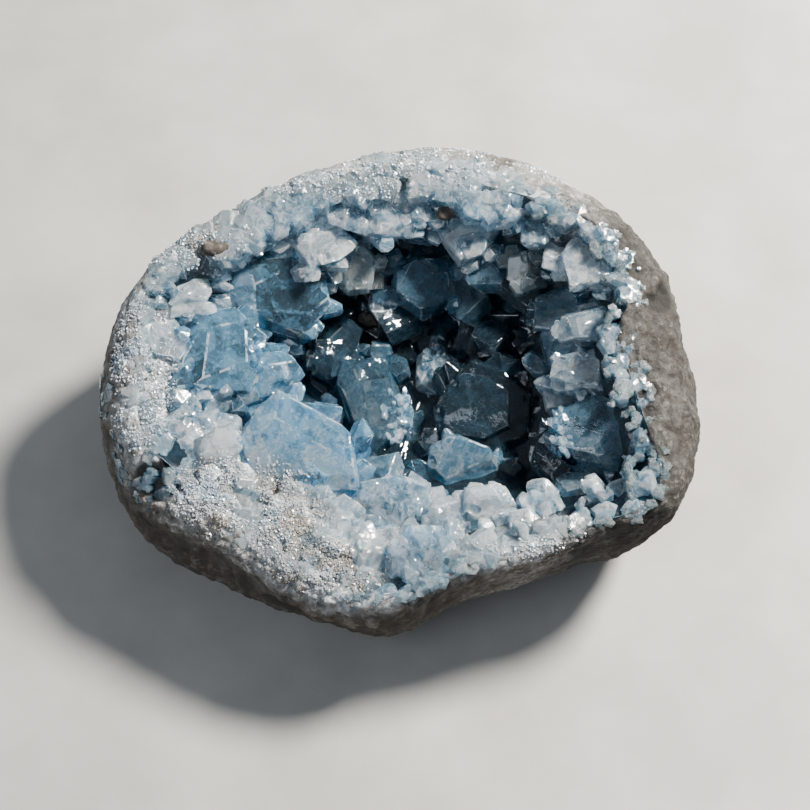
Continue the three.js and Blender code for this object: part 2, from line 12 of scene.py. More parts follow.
import bmesh
import bpy
import numpy as np
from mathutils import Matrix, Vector

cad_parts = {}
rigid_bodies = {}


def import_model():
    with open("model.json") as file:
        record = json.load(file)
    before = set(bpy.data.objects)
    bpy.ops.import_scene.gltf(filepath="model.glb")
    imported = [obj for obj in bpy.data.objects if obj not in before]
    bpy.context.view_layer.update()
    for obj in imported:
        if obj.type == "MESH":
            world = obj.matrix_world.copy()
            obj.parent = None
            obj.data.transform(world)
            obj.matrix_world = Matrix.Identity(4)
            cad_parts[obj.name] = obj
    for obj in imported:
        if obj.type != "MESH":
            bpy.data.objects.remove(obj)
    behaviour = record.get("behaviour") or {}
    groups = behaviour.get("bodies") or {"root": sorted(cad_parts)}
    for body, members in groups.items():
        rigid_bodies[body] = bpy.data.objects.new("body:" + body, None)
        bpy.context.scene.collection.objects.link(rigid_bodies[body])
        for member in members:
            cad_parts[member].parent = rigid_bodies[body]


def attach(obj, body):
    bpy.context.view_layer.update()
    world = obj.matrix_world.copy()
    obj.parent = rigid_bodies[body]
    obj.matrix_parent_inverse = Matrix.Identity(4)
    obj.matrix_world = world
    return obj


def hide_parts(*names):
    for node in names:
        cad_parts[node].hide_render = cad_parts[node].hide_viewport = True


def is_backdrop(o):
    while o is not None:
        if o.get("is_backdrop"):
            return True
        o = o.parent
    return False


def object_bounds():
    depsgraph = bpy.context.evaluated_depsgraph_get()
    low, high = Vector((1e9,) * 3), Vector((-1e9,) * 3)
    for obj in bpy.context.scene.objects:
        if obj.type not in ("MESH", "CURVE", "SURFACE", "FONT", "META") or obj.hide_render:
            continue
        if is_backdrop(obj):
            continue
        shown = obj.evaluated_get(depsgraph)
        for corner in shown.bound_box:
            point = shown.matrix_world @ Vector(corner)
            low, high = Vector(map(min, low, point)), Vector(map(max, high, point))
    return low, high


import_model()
cad_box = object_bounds()

MM = 0.001

# Rock: one value for every 15 degrees of azimuth.
GIRTH = (
    74.5, 73, 69, 68, 68, 62.5, 59, 57, 58.5, 62.5, 68.5, 71.5,
    74.5, 72.5, 70, 63, 61, 60, 60.5, 56.5, 58, 64, 74.5, 75,
)
MOUTH = (
    54, 58, 57.5, 51, 46.5, 47, 47, 47, 48.5, 51, 56.5, 64,
    61.5, 63.5, 57, 53.5, 53.5, 56, 56.5, 52.5, 54, 60, 70.5, 60,
)
GIRTH_LEVEL = (
    0.62, 0.62, 0.62, 0.62, 0.62, 0.62, 0.62, 0.6, 0.58, 0.55, 0.5, 0.48,
    0.48, 0.48, 0.48, 0.48, 0.52, 0.66, 0.8, 0.86, 0.86, 0.84, 0.78, 0.7,
)
RIM_HEIGHT = 49
RIM_SLOPE = (0.07, 0.26)
FOOT_SHARE = 0.52
LOWER_ROUNDING = 0.9
UPPER_ROUNDING = 0.85
LUMP_HEIGHT = 0.7

# Hollow: shares of the way from its floor to the mouth, sideways and upwards.
HOLLOW_FLOOR = (7, 5, 12)
HOLLOW_PROFILE = (
    (1, 1), (0.965, 0.84), (0.92, 0.66), (0.85, 0.46), (0.73, 0.27), (0.54, 0.12), (0.3, 0.03),
)
CAP_CROWN = 4
CAP_EDGE = 8
FOCUS = np.array((6, 2, 78))
LINING_SHARES = (0.05, 0.14)
LINING_GAP = 0.35
CROWN_REACH = 40
FILL_REACH = 18
FILL_SEED = 4291
# Place down the wall, number round it, half a crown's breadth, and how far it stands out.
FILL_ROWS = (
    (0.2, 40, 4.2, 4.5),
    (0.9, 32, 4.6, 6.5),
    (1.8, 22, 5.2, 6),
    (2.9, 14, 6, 6),
    (3.9, 10, 6.5, 6),
    (4.9, 6, 6.5, 6),
)

CRYSTALS = (
    # front left: the largest, with a bright bevel along its right
    ("great", "bright", (-22, -18, 39), (0.05, -0.4),
     ((-15, 0, 1), (-10, 9, 1), (-3, 15, 5), (12, 7, 3), (15, -2, 2), (15, -11, 2), (-9, -11, 1))),
    # left wall
    ("left_upper", "blue", (-28, 20, 44), (0.1, -0.45),
     ((-12, 1, 2), (-11, 8, 1), (3, 11, 1), (11, 6, 1), (13, -3, 1.5), (6, -11, 3), (-9, -7, 3))),
    ("left_middle", "blue", (-41, 5, 42), (0.25, -0.3),
     ((-12, -10, 1), (-9, 2, 1.5), (-6, 10, 2), (3, 12, 2), (11, 5, 1.5), (8, -10, 1))),
    ("left_inner", "blue", (-26, 2, 37), (0.3, -0.3),
     ((-8, -7, 1), (-7, 5, 1), (-1, 6, 1), (6, 1, 2), (1, -6, 1.5))),
    ("left_rim", "pale", (-51, 19, 47), (0.1, -0.15),
     ((-8, 0, 1), (-3, 4, 1), (6, 5, 1), (7, 0, 1.5), (5, -4, 2), (-5, -4.5, 1))),
    ("left_end", "glassy", (-55.5, 7, 44), (0.2, -0.1),
     ((-7, -5, 1), (-6, 5, 1), (2, 6, 1), (6, 0, 1.5), (4, -7, 1.5))),
    # back left
    ("back_pale", "pale", (-28, 33, 52), (0.1, -0.15),
     ((-6, 0, 1), (-5, 6, 1), (2, 9, 1), (6, 6, 1.5), (3, -2, 1.5), (-3, -6, 1))),
    ("back_block", "pale", (-16, 28.5, 51), (0.15, -0.2),
     ((-8, 0, 1), (-4, 6, 1.5), (3, 6.5, 1), (8, 2, 1), (2, -3.5, 2), (-4, -6, 1))),
    ("back_rounded", "glassy", (0, 33, 54.5), (0.05, -0.2),
     ((-7, -3, 2), (-6, 4, 2), (1, 6, 2), (7, 2, 2), (5, -4, 2), (-2, -5, 2))),
    ("back_tall", "glassy", (6, 37, 56.5), (0, -0.2),
     ((-4, 1, 1), (-2, 5, 1), (4, 3, 1), (5, -1, 1), (1, -5, 1.5), (-3, -3, 1))),
    ("back_stained", "stained", (-9, 27, 44.5), (0.1, -0.4),
     ((-6, -3, 1.5), (-5, 6, 1.5), (1, 8, 1), (5, 3, 1.5), (4, -6, 2), (-2, -7, 1))),
    # back middle, on the deep wall
    ("deep_dark", "deep_shaded", (-3, 27, 34), (0.1, -0.6),
     ((-4, -5, 1.5), (-4, 4, 1.5), (1, 7, 1.5), (5, 2, 1.5), (4, -5, 1.5), (0, -7, 1))),
    ("deep_large", "shaded", (7, 25.5, 39.5), (0.1, -0.5),
     ((-9, -3, 2.5), (-7, 6, 3), (2, 9.5, 2.5), (9, 4, 3), (8, -5, 3), (0, -9, 2.5))),
    ("deep_small", "deep_shaded", (4, 22, 29), (0.2, -0.5),
     ((-4, 0, 1), (-1, 3.5, 1), (3, 2, 1), (4, -2, 1), (-1, -3.5, 1))),
    ("back_rhomb", "glassy", (17, 30, 52), (-0.05, -0.3),
     ((-8, 3, 1), (-3, 7, 1), (4, 7.5, 1), (9, 3, 1.5), (5, -3.5, 2), (-2, -7, 2.5), (-6, -1, 1))),
    ("back_right_a", "glassy", (27, 34, 58), (-0.05, -0.15),
     ((-4, -2, 1), (-3, 4, 1), (2, 5, 1), (5, 0, 1), (1, -4, 1.5))),
    ("back_right_b", "glassy", (33, 30, 56), (-0.15, -0.15),
     ((-4, -3, 1), (-4, 3, 1), (1, 5.5, 1), (5, 1, 1), (3, -4, 1.5))),
    ("back_right_brown", "stained", (30, 24.5, 48), (-0.15, -0.35),
     ((-4, -2, 1), (-3, 4, 1), (2, 5, 1), (4, 0, 1), (1, -5, 1.5))),
    ("back_right_light", "pale", (39, 24, 53), (-0.2, -0.2),
     ((-4, -3, 1), (-3, 3, 1), (3, 4, 1), (5, -1, 1), (1, -4, 1))),
    # right wall
    ("right_back_mass", "pale", (46, 22.5, 55.5), (-0.15, -0.15),
     ((-5, -9, 1), (-6, 4, 1.5), (0, 10, 1), (5, 6, 1), (6, -6, 1.5))),
    ("right_upper", "shaded_slate", (40, 15, 45.5), (-0.3, -0.25),
     ((-7, -5, 1), (-6, 4, 1.5), (1, 6, 1), (8, 3, 1), (8, -5, 1.5), (0, -7, 1))),
    ("right_shelf", "glassy", (46, 8, 49.5), (-0.25, -0.2),
     ((-8, -4, 1), (-7, 3, 1.5), (3, 5, 1), (8, 1, 1), (6, -5, 1))),
    ("right_white_edge", "glassy", (45, -2.5, 44.5), (-0.35, -0.25),
     ((-9, -4, 1.5), (-8, 4, 2.5), (2, 7, 1.5), (9, 3, 1), (8, -6, 1.5), (-2, -6, 1))),
    ("right_large", "shaded_slate", (48, -16.5, 42), (-0.2, -0.3),
     ((-12, -5, 1.5), (-9, 6, 2), (0, 9.5, 1.5), (11, 6, 1), (12, -4, 1), (3, -9, 1.5))),
    ("right_inner", "deep_shaded", (38, -19, 34), (-0.3, -0.35),
     ((-6, -3, 1), (-4, 6, 1), (3, 7, 1), (6, -1, 1.5), (0, -8, 1.5))),
    ("right_grey", "glassy", (57, -33, 41), (-0.1, -0.1),
     ((-9, -3, 1), (-8, 4, 1), (-2, 6, 1), (4, 5, 1), (6, 0, 1), (1, -6, 1), (-5, -6, 1))),
    ("right_front_long", "glassy", (45, -38.5, 35.5), (-0.2, -0.1),
     ((-3, -6, 1), (-3, 3, 1), (0, 7, 1), (3, 3, 1), (3, -5, 1))),
    ("right_front_small", "glassy", (52, -37.5, 38.5), (-0.1, -0.05),
     ((-4, -1, 1), (-1, 3.5, 1), (4, 2, 1), (3, -3, 1))),
    ("right_front_tip", "glassy", (59, -36, 41), (-0.1, 0),
     ((-4, -1, 1), (-2, 3, 1), (3, 3, 1), (4, -1, 1), (0, -4, 1))),
    # middle of the floor
    ("middle_spark", "glassy", (11, 10, 25), (0.25, -0.4),
     ((-6, -5, 1.5), (-6, 4, 1.5), (0, 8, 2), (6, 2, 2), (3, -8, 1.5))),
    ("middle_large", "deep_shaded", (21, -2, 30), (-0.1, -0.4),
     ((-12, -1, 1.5), (-3, 12, 2), (6, 9, 1.5), (13, 2, 1.5), (11, -10, 2.5), (2, -13, 2), (-11, -9, 1))),
    ("middle_right", "shaded_slate", (33, -1, 27), (-0.3, -0.4),
     ((-4, -6, 1), (-3, 6, 1), (2, 7, 1), (5, -1, 1), (2, -8, 1))),
    ("middle_front", "shaded", (16, -18, 27), (-0.05, -0.5),
     ((-9, -4, 1.5), (-8, 5, 1.5), (-1, 8, 1.5), (9, 4, 1.5), (9, -4, 2), (0, -8, 1))),
    ("middle_left", "dim", (-5, -3, 28), (0.25, -0.45),
     ((-11, 2, 1.5), (-8, 13, 1.5), (3, 14, 2), (9, 3, 4), (12, -7, 2), (-3, -13, 1.5), (-6, -4, 1))),
    ("middle_blade", "deep_shaded", (-14, 8, 31), (0.3, -0.4),
     ((-7, -3, 1), (-6, 6, 1), (3, 8, 1), (7, 0, 1.5), (0, -6, 1))),
    # front wall
    ("front_inner", "glassy", (-1, -31, 32.5), (0, -0.3),
     ((-11, -3, 1), (-9, 5, 1.5), (1, 7, 1), (10, 4, 1), (9, -4, 1), (-2, -6.5, 1.5))),
    ("front_pale", "pale", (-12, -36, 35), (0.05, -0.2),
     ((-6, -4, 1), (-6, 3, 1), (0, 5.5, 1), (6, 2, 1), (5, -5, 1))),
    ("front_clear", "pale", (12, -35, 34), (0.05, -0.25),
     ((-6, -4, 1), (-6, 4, 1.5), (1, 6, 1), (6, 2, 1), (5, -5, 1))),
    ("front_ridge", "pale", (22, -33, 36), (-0.1, -0.1),
     ((-7, -3, 1), (-6, 4, 1), (4, 5, 1), (7, -1, 1), (2, -5, 1))),
    ("front_lump_a", "pale", (30, -40, 38), (-0.1, -0.1),
     ((-5, -4, 1.5), (-4, 4, 1.5), (2, 5, 1.5), (6, 0, 1.5), (2, -6, 1.5))),
    ("front_lump_b", "pale", (38, -41.5, 38.5), (-0.1, 0),
     ((-5, -2, 1.5), (-3, 4, 1.5), (3, 4, 1.5), (6, -1, 1.5), (0, -4, 1.5))),
    ("front_block", "glassy", (8, -46, 38.5), (0, -0.25),
     ((-8, 0, 1), (-6, 6, 1.5), (5, 6, 1), (8, 1, 1.5), (1, -7, 1.5))),
    ("front_left_pale", "pale", (-24, -38, 37), (0.1, -0.2),
     ((-7, -3, 1), (-5, 4, 1), (3, 5, 1), (7, -1, 1), (1, -5, 1))),
    ("left_front_pale", "pale", (-40, -20, 40), (0.15, -0.2),
     ((-6, -3, 1), (-5, 4, 1), (3, 5, 1), (6, 0, 1), (1, -5, 1))),
)


# Curves, and the forms of rock and hollow


def around(values, azimuth):
    """The value at each azimuth, on a smooth closed curve through the list's values."""
    values = np.asarray(values, float)
    count = len(values)
    place = (np.asarray(azimuth, float) / math.tau * count) % count
    first = np.floor(place).astype(int)
    t = place - first
    a, b, c, d = (values[(first + step) % count] for step in (-1, 0, 1, 2))
    cubic = 3 * b - a - 3 * c + d
    return 0.5 * (2 * b + (c - a) * t + (2 * a - 5 * b + 4 * c - d) * t**2 + cubic * t**3)


def rim_height(x, y):
    return RIM_HEIGHT + RIM_SLOPE[0] * x + RIM_SLOPE[1] * y


def lump(azimuth, share):
    wave = np.sin(5 * azimuth + 7 * share) + np.sin(8 * azimuth - 5 * share + 1) * np.sin(9 * share + 2)
    return LUMP_HEIGHT * wave * np.sin(math.pi * share)


def outside_point(azimuth, arc):
    """The rock's outside: arc 0 to 1 goes from the foot to the girth, and 1 to 2 to the mouth."""
    girth, mouth = around(GIRTH, azimuth), around(MOUTH, azimuth)
    top = rim_height(mouth * np.cos(azimuth), mouth * np.sin(azimuth))
    level = top * around(GIRTH_LEVEL, azimuth)
    foot = FOOT_SHARE * girth
    lower = np.clip(math.pi / 2 * (1 - arc), 0, math.pi / 2)
    upper = np.clip(math.pi / 2 * (arc - 1), 0, math.pi / 2)
    low = arc <= 1
    reach = np.where(
        low,
        foot + (girth - foot) * np.cos(lower) ** LOWER_ROUNDING,
        mouth + (girth - mouth) * np.maximum(np.cos(upper), 0) ** UPPER_ROUNDING,
    )
    height = np.where(
        low,
        level * (1 - np.sin(lower) ** LOWER_ROUNDING),
        level + (top - level) * np.sin(upper) ** UPPER_ROUNDING,
    )
    radius = reach + lump(azimuth, arc / 2)
    return np.stack([radius * np.cos(azimuth), radius * np.sin(azimuth), height], -1)


def profile_at(level):
    """The hollow profile's two shares at a place counted down from the mouth."""
    places = np.arange(len(HOLLOW_PROFILE))
    return [np.interp(level, places, [row[i] for row in HOLLOW_PROFILE]) for i in (0, 1)]


def hollow_point(azimuth, shares, gap):
    """A point of the hollow's wall, moved inwards by a gap."""
    sideways, upwards = shares
    mouth = around(MOUTH, azimuth)
    rim_x, rim_y = mouth * np.cos(azimuth), mouth * np.sin(azimuth)
    floor_x, floor_y, floor_z = HOLLOW_FLOOR
    x = (rim_x - floor_x) * sideways
    y = (rim_y - floor_y) * sideways
    z = floor_z + (rim_height(rim_x, rim_y) - floor_z) * upwards
    level = 1 - upwards
    pull = 1 - gap * (1 - 0.5 * level) / np.maximum(np.hypot(x, y), 1e-6)
    return np.stack([floor_x + x * pull, floor_y + y * pull, z + gap * level], -1)


def towards_focus(points, height):
    """Points of the hollow's wall moved in by the lining's thickness at that share of its height."""
    share = np.asarray(LINING_SHARES[1] + (LINING_SHARES[0] - LINING_SHARES[1]) * height)
    return points + (FOCUS - points) * share[..., None]


def lining_point(azimuth, level):
    shares = profile_at(level)
    return towards_focus(hollow_point(azimuth, shares, LINING_GAP), shares[1])


# Noise, the same on every run


def lattice(ix, iy, iz, seed):
    """A number from 0 to 1 for each whole-numbered place."""
    with np.errstate(over="ignore"):
        h = ix.astype(np.uint32) * np.uint32(374761393) + iy.astype(np.uint32) * np.uint32(668265263)
        h += iz.astype(np.uint32) * np.uint32(2246822519) + np.uint32(seed) * np.uint32(3266489917)
        h = (h ^ (h >> np.uint32(13))) * np.uint32(1274126177)
        h ^= h >> np.uint32(16)
    return (h & np.uint32(0xFFFFFF)).astype(float) / 0xFFFFFF


def smooth_noise(points, seed):
    """Smooth noise from -1 to 1 with waves about one unit long."""
    base = np.floor(points).astype(np.int64)
    t = points - base
    t = t * t * (3 - 2 * t)
    total = np.zeros(len(points))
    for step in product((0, 1), repeat=3):
        total += np.where(step, t, 1 - t).prod(axis=1) * lattice(*(base + step).T, seed)
    return 2 * total - 1


def layered_noise(points, size, seed, layers=4):
    """Noise from waves of one size and ever smaller ones."""
    total, weight = np.zeros(len(points)), 0.0
    for layer in range(layers):
        scale = 2.0**layer
        total += smooth_noise(points / size * scale + 17.3 * layer, seed + layer) / scale
        weight += 1 / scale
    return total / weight


def grain_noise(points, size, seed):
    """0 at the middle of a grain, rising to 1 at its edge, for grains about as wide as size."""
    scaled = points / size
    base = np.floor(scaled).astype(np.int64)
    nearest = np.full(len(points), 9.0)
    for step in product((-1, 0, 1), repeat=3):
        cell = base + step
        jitter = [lattice(*cell.T, seed + axis) for axis in range(3)]
        nearest = np.minimum(nearest, ((cell + np.stack(jitter, -1) - scaled) ** 2).sum(-1))
    return np.clip(np.sqrt(nearest), 0, 1)


def smooth_step(low, high, value):
    t = np.clip((value - low) / (high - low), 0, 1)
    return t * t * (3 - 2 * t)


def facing(azimuth, middle, near, far):
    """1 within some degrees of a middle azimuth, falling to 0 at more degrees from it."""
    turn = np.degrees(azimuth) - middle
    return 1 - smooth_step(near, far, np.abs((turn + 180) % 360 - 180))


# Meshes


def new_object(name, data):
    piece = bpy.data.objects.new(name, data)
    bpy.context.scene.collection.objects.link(piece)
    return piece


def make_object(name, points, faces, material=None):
    mesh = bpy.data.meshes.new(name)
    mesh.from_pydata((np.asarray(points) * MM).tolist(), [], faces)
    mesh.update()
    if material:
        mesh.materials.append(material)
    return new_object(name, mesh)


def grid_faces(rows, columns):
    """Quads of a grid that closes round its columns."""
    row, column = np.meshgrid(np.arange(rows - 1) * columns, np.arange(columns), indexing="ij")
    after = (column + 1) % columns
    quads = [row + column, row + after, row + columns + after, row + columns + column]
    return np.stack(quads, -1).reshape(-1, 4)


def closed_rings(rings, first_middle, last_middle):
    """Points and faces of a closed surface through rings, with a middle point at each end."""
    rows, columns = rings.shape[:2]
    points = np.vstack([rings.reshape(-1, 3), [first_middle], [last_middle]])
    faces = grid_faces(rows, columns).tolist()
    first, last = rows * columns, rows * columns + 1
    for k in range(columns):
        after = (k + 1) % columns
        faces.append([first, after, k])
        faces.append([last, (rows - 1) * columns + k, (rows - 1) * columns + after])
    return points, faces


def ring_normals(rings):
    """Outward directions of a grid of rings, from its neighbours."""
    along = np.roll(rings, -1, 1) - np.roll(rings, 1, 1)
    up = np.gradient(rings, axis=0)
    normal = np.cross(along, up)
    return normal / np.maximum(np.linalg.norm(normal, axis=-1, keepdims=True), 1e-9)


def point_attribute(mesh, name, values):
    layer = mesh.attributes.new(name, "FLOAT", "POINT")
    layer.data.foreach_set("value", np.asarray(values, np.float32))


def mesh_points(mesh):
    """A mesh's points, in millimetres."""
    points = np.empty(len(mesh.vertices) * 3)
    mesh.vertices.foreach_get("co", points)
    return points.reshape(-1, 3) / MM


# Rock

ROCK_COLUMNS = 560
ROCK_LOWER_ROWS = 78
ROCK_UPPER_ROWS = 70
ROCK_INNER_LEVELS = (0.15, 0.3, 0.5, 0.8, 1.2, 1.8, 2.6, 3.5, 4.6, 5.6)
# The share of the lower arc that is the flat foot.
FOOT_ARC = 0.12
# Azimuths of the rock's shaded front left, its stony right and its pitted left.
SHADED_SIDE = 235
STONY_SIDE = -5
PITTED_SIDE = 178
# Deep weathered hollows: azimuth, arc, half-sizes outwards, sideways and upwards.
PITS = (
    (207, 1.7, 3, 6, 4),
    (12, 1.6, 2, 5, 3),
    (244, 1.1, 1.5, 6, 3),
    (30, 1.3, 1.5, 4, 3),
    (100, 0.8, 2, 7, 4),
    (172, 0.9, 1.5, 5, 5),
)


def pit_depth(points):
    """How deep the weathered hollows are at each point, from 0 to the pit's own depth."""
    depth = np.zeros(len(points))
    wobble = layered_noise(points, 5, 31)
    for azimuth, arc, out, side, up in PITS:
        turn = math.radians(azimuth)
        middle = outside_point(np.array(turn), np.array(arc))
        offset = points - middle
        across = offset @ np.array([-math.sin(turn), math.cos(turn), 0])
        away = np.sqrt((across / side) ** 2 + (offset[:, 2] / up) ** 2) + 0.25 * wobble
        near = offset @ np.array([math.cos(turn), math.sin(turn), 0]) > -12
        depth = np.maximum(depth, out * (1 - smooth_step(0.35, 1.05, away)) * near)
    return depth


def rock_relief(points, azimuth, arc):
    """How far the rock's surface stands out of its smooth form."""
    shaded = facing(azimuth, SHADED_SIDE, 35, 70)
    stony = facing(azimuth, STONY_SIDE, 32, 60)
    left = facing(azimuth, PITTED_SIDE, 18, 40)
    ground = smooth_step(1.35, 1.8, arc) * (1 - stony)
    stretched = points * (1, 1, 0.55)
    waves = 0.7 * layered_noise(points, 14, 3)
    lumps = 0.55 * layered_noise(stretched, 4.5, 7)
    grains = 0.35 * (0.55 - grain_noise(points, 1.9, 11))
    coarse = 0.9 * (0.5 - grain_noise(stretched, 3, 13)) * shaded
    ridge = np.exp(-(((arc - 1.55) / 0.17) ** 2)) * facing(azimuth, SHADED_SIDE - 1, 18, 34)
    coarse += ridge * (0.7 + 1.8 * (0.5 - grain_noise(points * (1.3, 1.3, 0.8), 2.1, 23)))
    pitted = -smooth_step(0.3, 0.7, layered_noise(points, 2.2, 19, 3)) * (0.5 + 0.5 * left)
    relief = waves + lumps * (1 - 0.45 * ground) * (1 + 1.1 * stony)
    relief += grains * (1 - 0.5 * ground) * (1 + 0.9 * stony + 0.6 * left) + coarse + pitted
    return relief - pit_depth(points)


def rock_rings():
    """Rings of points up the rock's outside and down into its hollow, each with azimuth and arc."""
    azimuth = np.linspace(0, math.tau, ROCK_COLUMNS, endpoint=False)
    lower = np.linspace(0, 1, ROCK_LOWER_ROWS, endpoint=False)
    turn, arc = np.meshgrid(azimuth, np.append(lower, np.linspace(1, 2, ROCK_UPPER_ROWS + 1)))
    inside = np.stack([hollow_point(azimuth, profile_at(level), 0) for level in ROCK_INNER_LEVELS])
    rings = np.concatenate([outside_point(turn, arc), inside])
    arc = np.concatenate([arc, np.full(inside.shape[:2], 2.0)])
    return rings, np.tile(azimuth, (len(rings), 1)), arc


def build_rock(material):
    rings, turn, arc = rock_rings()
    relief = rock_relief(rings.reshape(-1, 3), turn.ravel(), arc.ravel()).reshape(arc.shape)
    relief *= smooth_step(0, FOOT_ARC, arc)
    inner_rows = len(ROCK_INNER_LEVELS)
    relief[-inner_rows:] *= np.linspace(0.8, 0, inner_rows)[:, None]
    lowest = np.where(arc < FOOT_ARC, rings[..., 2], 0)
    rings = rings + ring_normals(rings) * relief[..., None]
    rings[..., 2] = np.maximum(rings[..., 2], lowest)
    rock = make_object("rock_body", *closed_rings(rings, (0, 0, 0), HOLLOW_FLOOR), material)
    rock.data.shade_smooth()
    x, y = rings[..., 0], rings[..., 1]
    from_mouth = np.abs(np.hypot(x, y) - around(MOUTH, np.arctan2(y, x)))
    marks = {
        "rim": (1 - smooth_step(0, 9, from_mouth)) * smooth_step(1, 1.6, arc),
        # Dark brown round the front left, fading out above the girth.
        "brown": facing(turn, SHADED_SIDE + 3, 30, 75) * (1 - smooth_step(1.1, 1.7, arc)),
        "stony": facing(turn, STONY_SIDE, 32, 55),
        "relief": relief,
    }
    for name, values in marks.items():
        point_attribute(rock.data, name, np.append(values.ravel(), [0, 0]))
    return rock


# Crystals

# Each finish: how milky, how dark, how stained and how frosted a crystal is.
FINISHES = {
    "bright": (0.4, 0, 0, 0),
    "blue": (0.28, 0, 0, 0),
    "pale": (0.86, 0, 0.03, 0.1),
    "glassy": (0.62, 0.1, 0, 0),
    # The next four paint shade: darker copies of the blue finish for crystals in the shade of the
    # hollow's walls and floor. The last is also a deeper blue of its own.
    "shaded": (0.36, 0.35, 0, 0),
    "shaded_slate": (0.34, 0.6, 0, 0),
    "dim": (0.26, 0.8, 0, 0),
    "deep_shaded": (0.15, 0.96, 0, 0),
    "stained": (0.5, 0.15, 0.7, 0.1),
    "small": (0.5, 0.35, 0, 0),
    "ground": (0.58, 0.2, 0.25, 0.3),
    "grey": (0.56, 0.5, 0.35, 0.7),
}
FACE_NAMES = ("milk", "dark", "stain", "frost", "tone", "chipped")
# How much of a face's tone is its own, and not its crystal's.
FACET_SHARE = 0.5
# Faces at these slopes to the crown count as bevels, and are lighter by this much, as painted light on
# them.
BEVEL_SLOPES = (0.5, 0.985)
BEVEL_PAINTED_LIGHT = 0.65
# A crystal's planes are its crown, its root and then the others. A body thinner than this is left out.
ROOT_PLANE = 1
LEAST_THICKNESS = 0.02
NICK_COUNT = 3


# at is the middle of the crown, lean the slope of its normal, crown its outline seen square on (to
# the right, away, and the width of the bevel along the side that starts there), reach its length
# and axis its direction, or None for the direction to the focus. Each facet is a shallow extra cut:
# two points of the line on the crown where it starts, and its slope to the crown.
Crystal = namedtuple("Crystal", "at lean crown reach axis facets", defaults=((),))


def seeded_chance(seed):
    """A function that gives numbers from 0 to 1 that look random and are the same on every run."""
    state = [seed]

    def chance():
        state[0] = state[0] * 16807 % 2147483647
        return state[0] / 2147483647

    return chance


def between(low, high, chance):
    return low + (high - low) * chance()


def vary(start, extra, chance):
    return start + extra * chance()


def either_way(width, chance):
    """A number from minus to plus half a width."""
    return width * (chance() - 0.5)


def unit(vector):
    vector = np.asarray(vector, float)
    return vector / np.linalg.norm(vector)


def crystal_frame(crystal):
    """The crown's middle, normal, right and away directions, and the crystal's long axis."""
    at = np.array(crystal.at, float)
    normal = unit((*crystal.lean, 1))
    right = unit(np.array((1, 0, 0)) - normal * normal[0])
    away = np.cross(normal, right)
    axis = unit(FOCUS - at) if crystal.axis is None else crystal.axis
    return at, normal, right, away, axis


def crown_corners(crystal):
    at, _, right, away, _ = crystal_frame(crystal)
    return [at + right * u + away * v for u, v, _ in crystal.crown]


def crystal_planes(crystal):
    """Planes (normal, offset) of a crown, the root, and a wall and a bevel for each crown side."""
    at, normal, right, away, axis = crystal_frame(crystal)
    corners = crown_corners(crystal)
    planes = [(normal, normal @ at), (-axis, -axis @ (at - axis * crystal.reach))]
    for u0, v0, u1, v1, slope in crystal.facets:
        inward = unit(right * (v1 - v0) - away * (u1 - u0))
        facet = unit(normal - inward * slope)
        planes.append((facet, facet @ (at + right * u0 + away * v0)))
    for i, start in enumerate(corners):
        edge = unit(corners[(i + 1) % len(corners)] - start)
        wall = unit(np.cross(axis, edge))
        inward = unit(np.cross(edge, normal))
        planes.append((wall, wall @ start))
        if crystal.crown[i][2]:
            bevel = unit(wall + normal)
            planes.append((bevel, bevel @ (start + inward * crystal.crown[i][2])))
    return planes


def hull_triples(points):
    """Triangles of the convex hull, as indices of the points."""
    shape = bmesh.new()
    verts = [shape.verts.new(point) for point in points]
    shape.verts.index_update()
    bmesh.ops.convex_hull(shape, input=verts)
    triples = [[v.index for v in face.verts] for face in shape.faces]
    shape.free()
    return np.array(triples)


def plane_arrays(planes):
    return np.array([normal for normal, _ in planes]), np.array([offset for _, offset in planes])


def nearest_planes(planes, triangles):
    """The index of the plane that each triangle lies in."""
    normals, offsets = plane_arrays(planes)
    return np.abs(triangles @ normals.T - offsets).max(axis=1).argmin(axis=1)


def body_corners(planes, inside):
    """Triples of planes that meet at the corners of the convex body within the planes."""
    normals, offsets = plane_arrays(planes)
    away = offsets - normals @ inside
    if away.min() < LEAST_THICKNESS:
        return None, None
    triples = hull_triples(normals / away[:, None])
    matrices = normals[triples]
    solid = np.abs(np.linalg.det(matrices)) > 1e-6
    triples = triples[solid]
    corners = np.linalg.solve(matrices[solid], offsets[triples][..., None])[..., 0]
    return triples, corners


def nicked(planes, inside, depth, chance):
    """The planes, and a few more that each cut off one corner away from the root."""
    triples, corners = body_corners(planes, inside)
    if triples is None:
        return planes
    top = np.nonzero((triples != ROOT_PLANE).all(axis=1))[0]
    extra = []
    for _ in range(NICK_COUNT):
        corner = top[int(chance() * len(top)) % len(top)]
        shares = [0.3 + chance() for _ in range(3)]
        normal = unit(sum(planes[i][0] * share for i, share in zip(triples[corner], shares)))
        extra.append((normal, normal @ corners[corner] - depth * (0.3 + 0.7 * chance())))
    return planes + extra


def chamfered(planes, inside, width):
    """The planes, and a narrow extra one along each edge that is long enough and isn't at the root."""
    triples, corners = body_corners(planes, inside)
    if triples is None:
        return planes
    ends = {}
    for triple, corner in zip(triples.tolist(), corners):
        for pair in combinations(sorted(triple), 2):
            ends.setdefault(pair, []).append(corner)
    extra = []
    for (i, j), found in sorted(ends.items()):
        short = np.linalg.norm(found[0] - found[-1]) < 3 * width
        if ROOT_PLANE in (i, j) or short:
            continue
        normal = unit(planes[i][0] + planes[j][0])
        slope = planes[i][0] @ normal
        extra.append((normal, normal @ found[0] - width * math.sqrt(max(1 - slope**2, 0))))
    return planes + extra


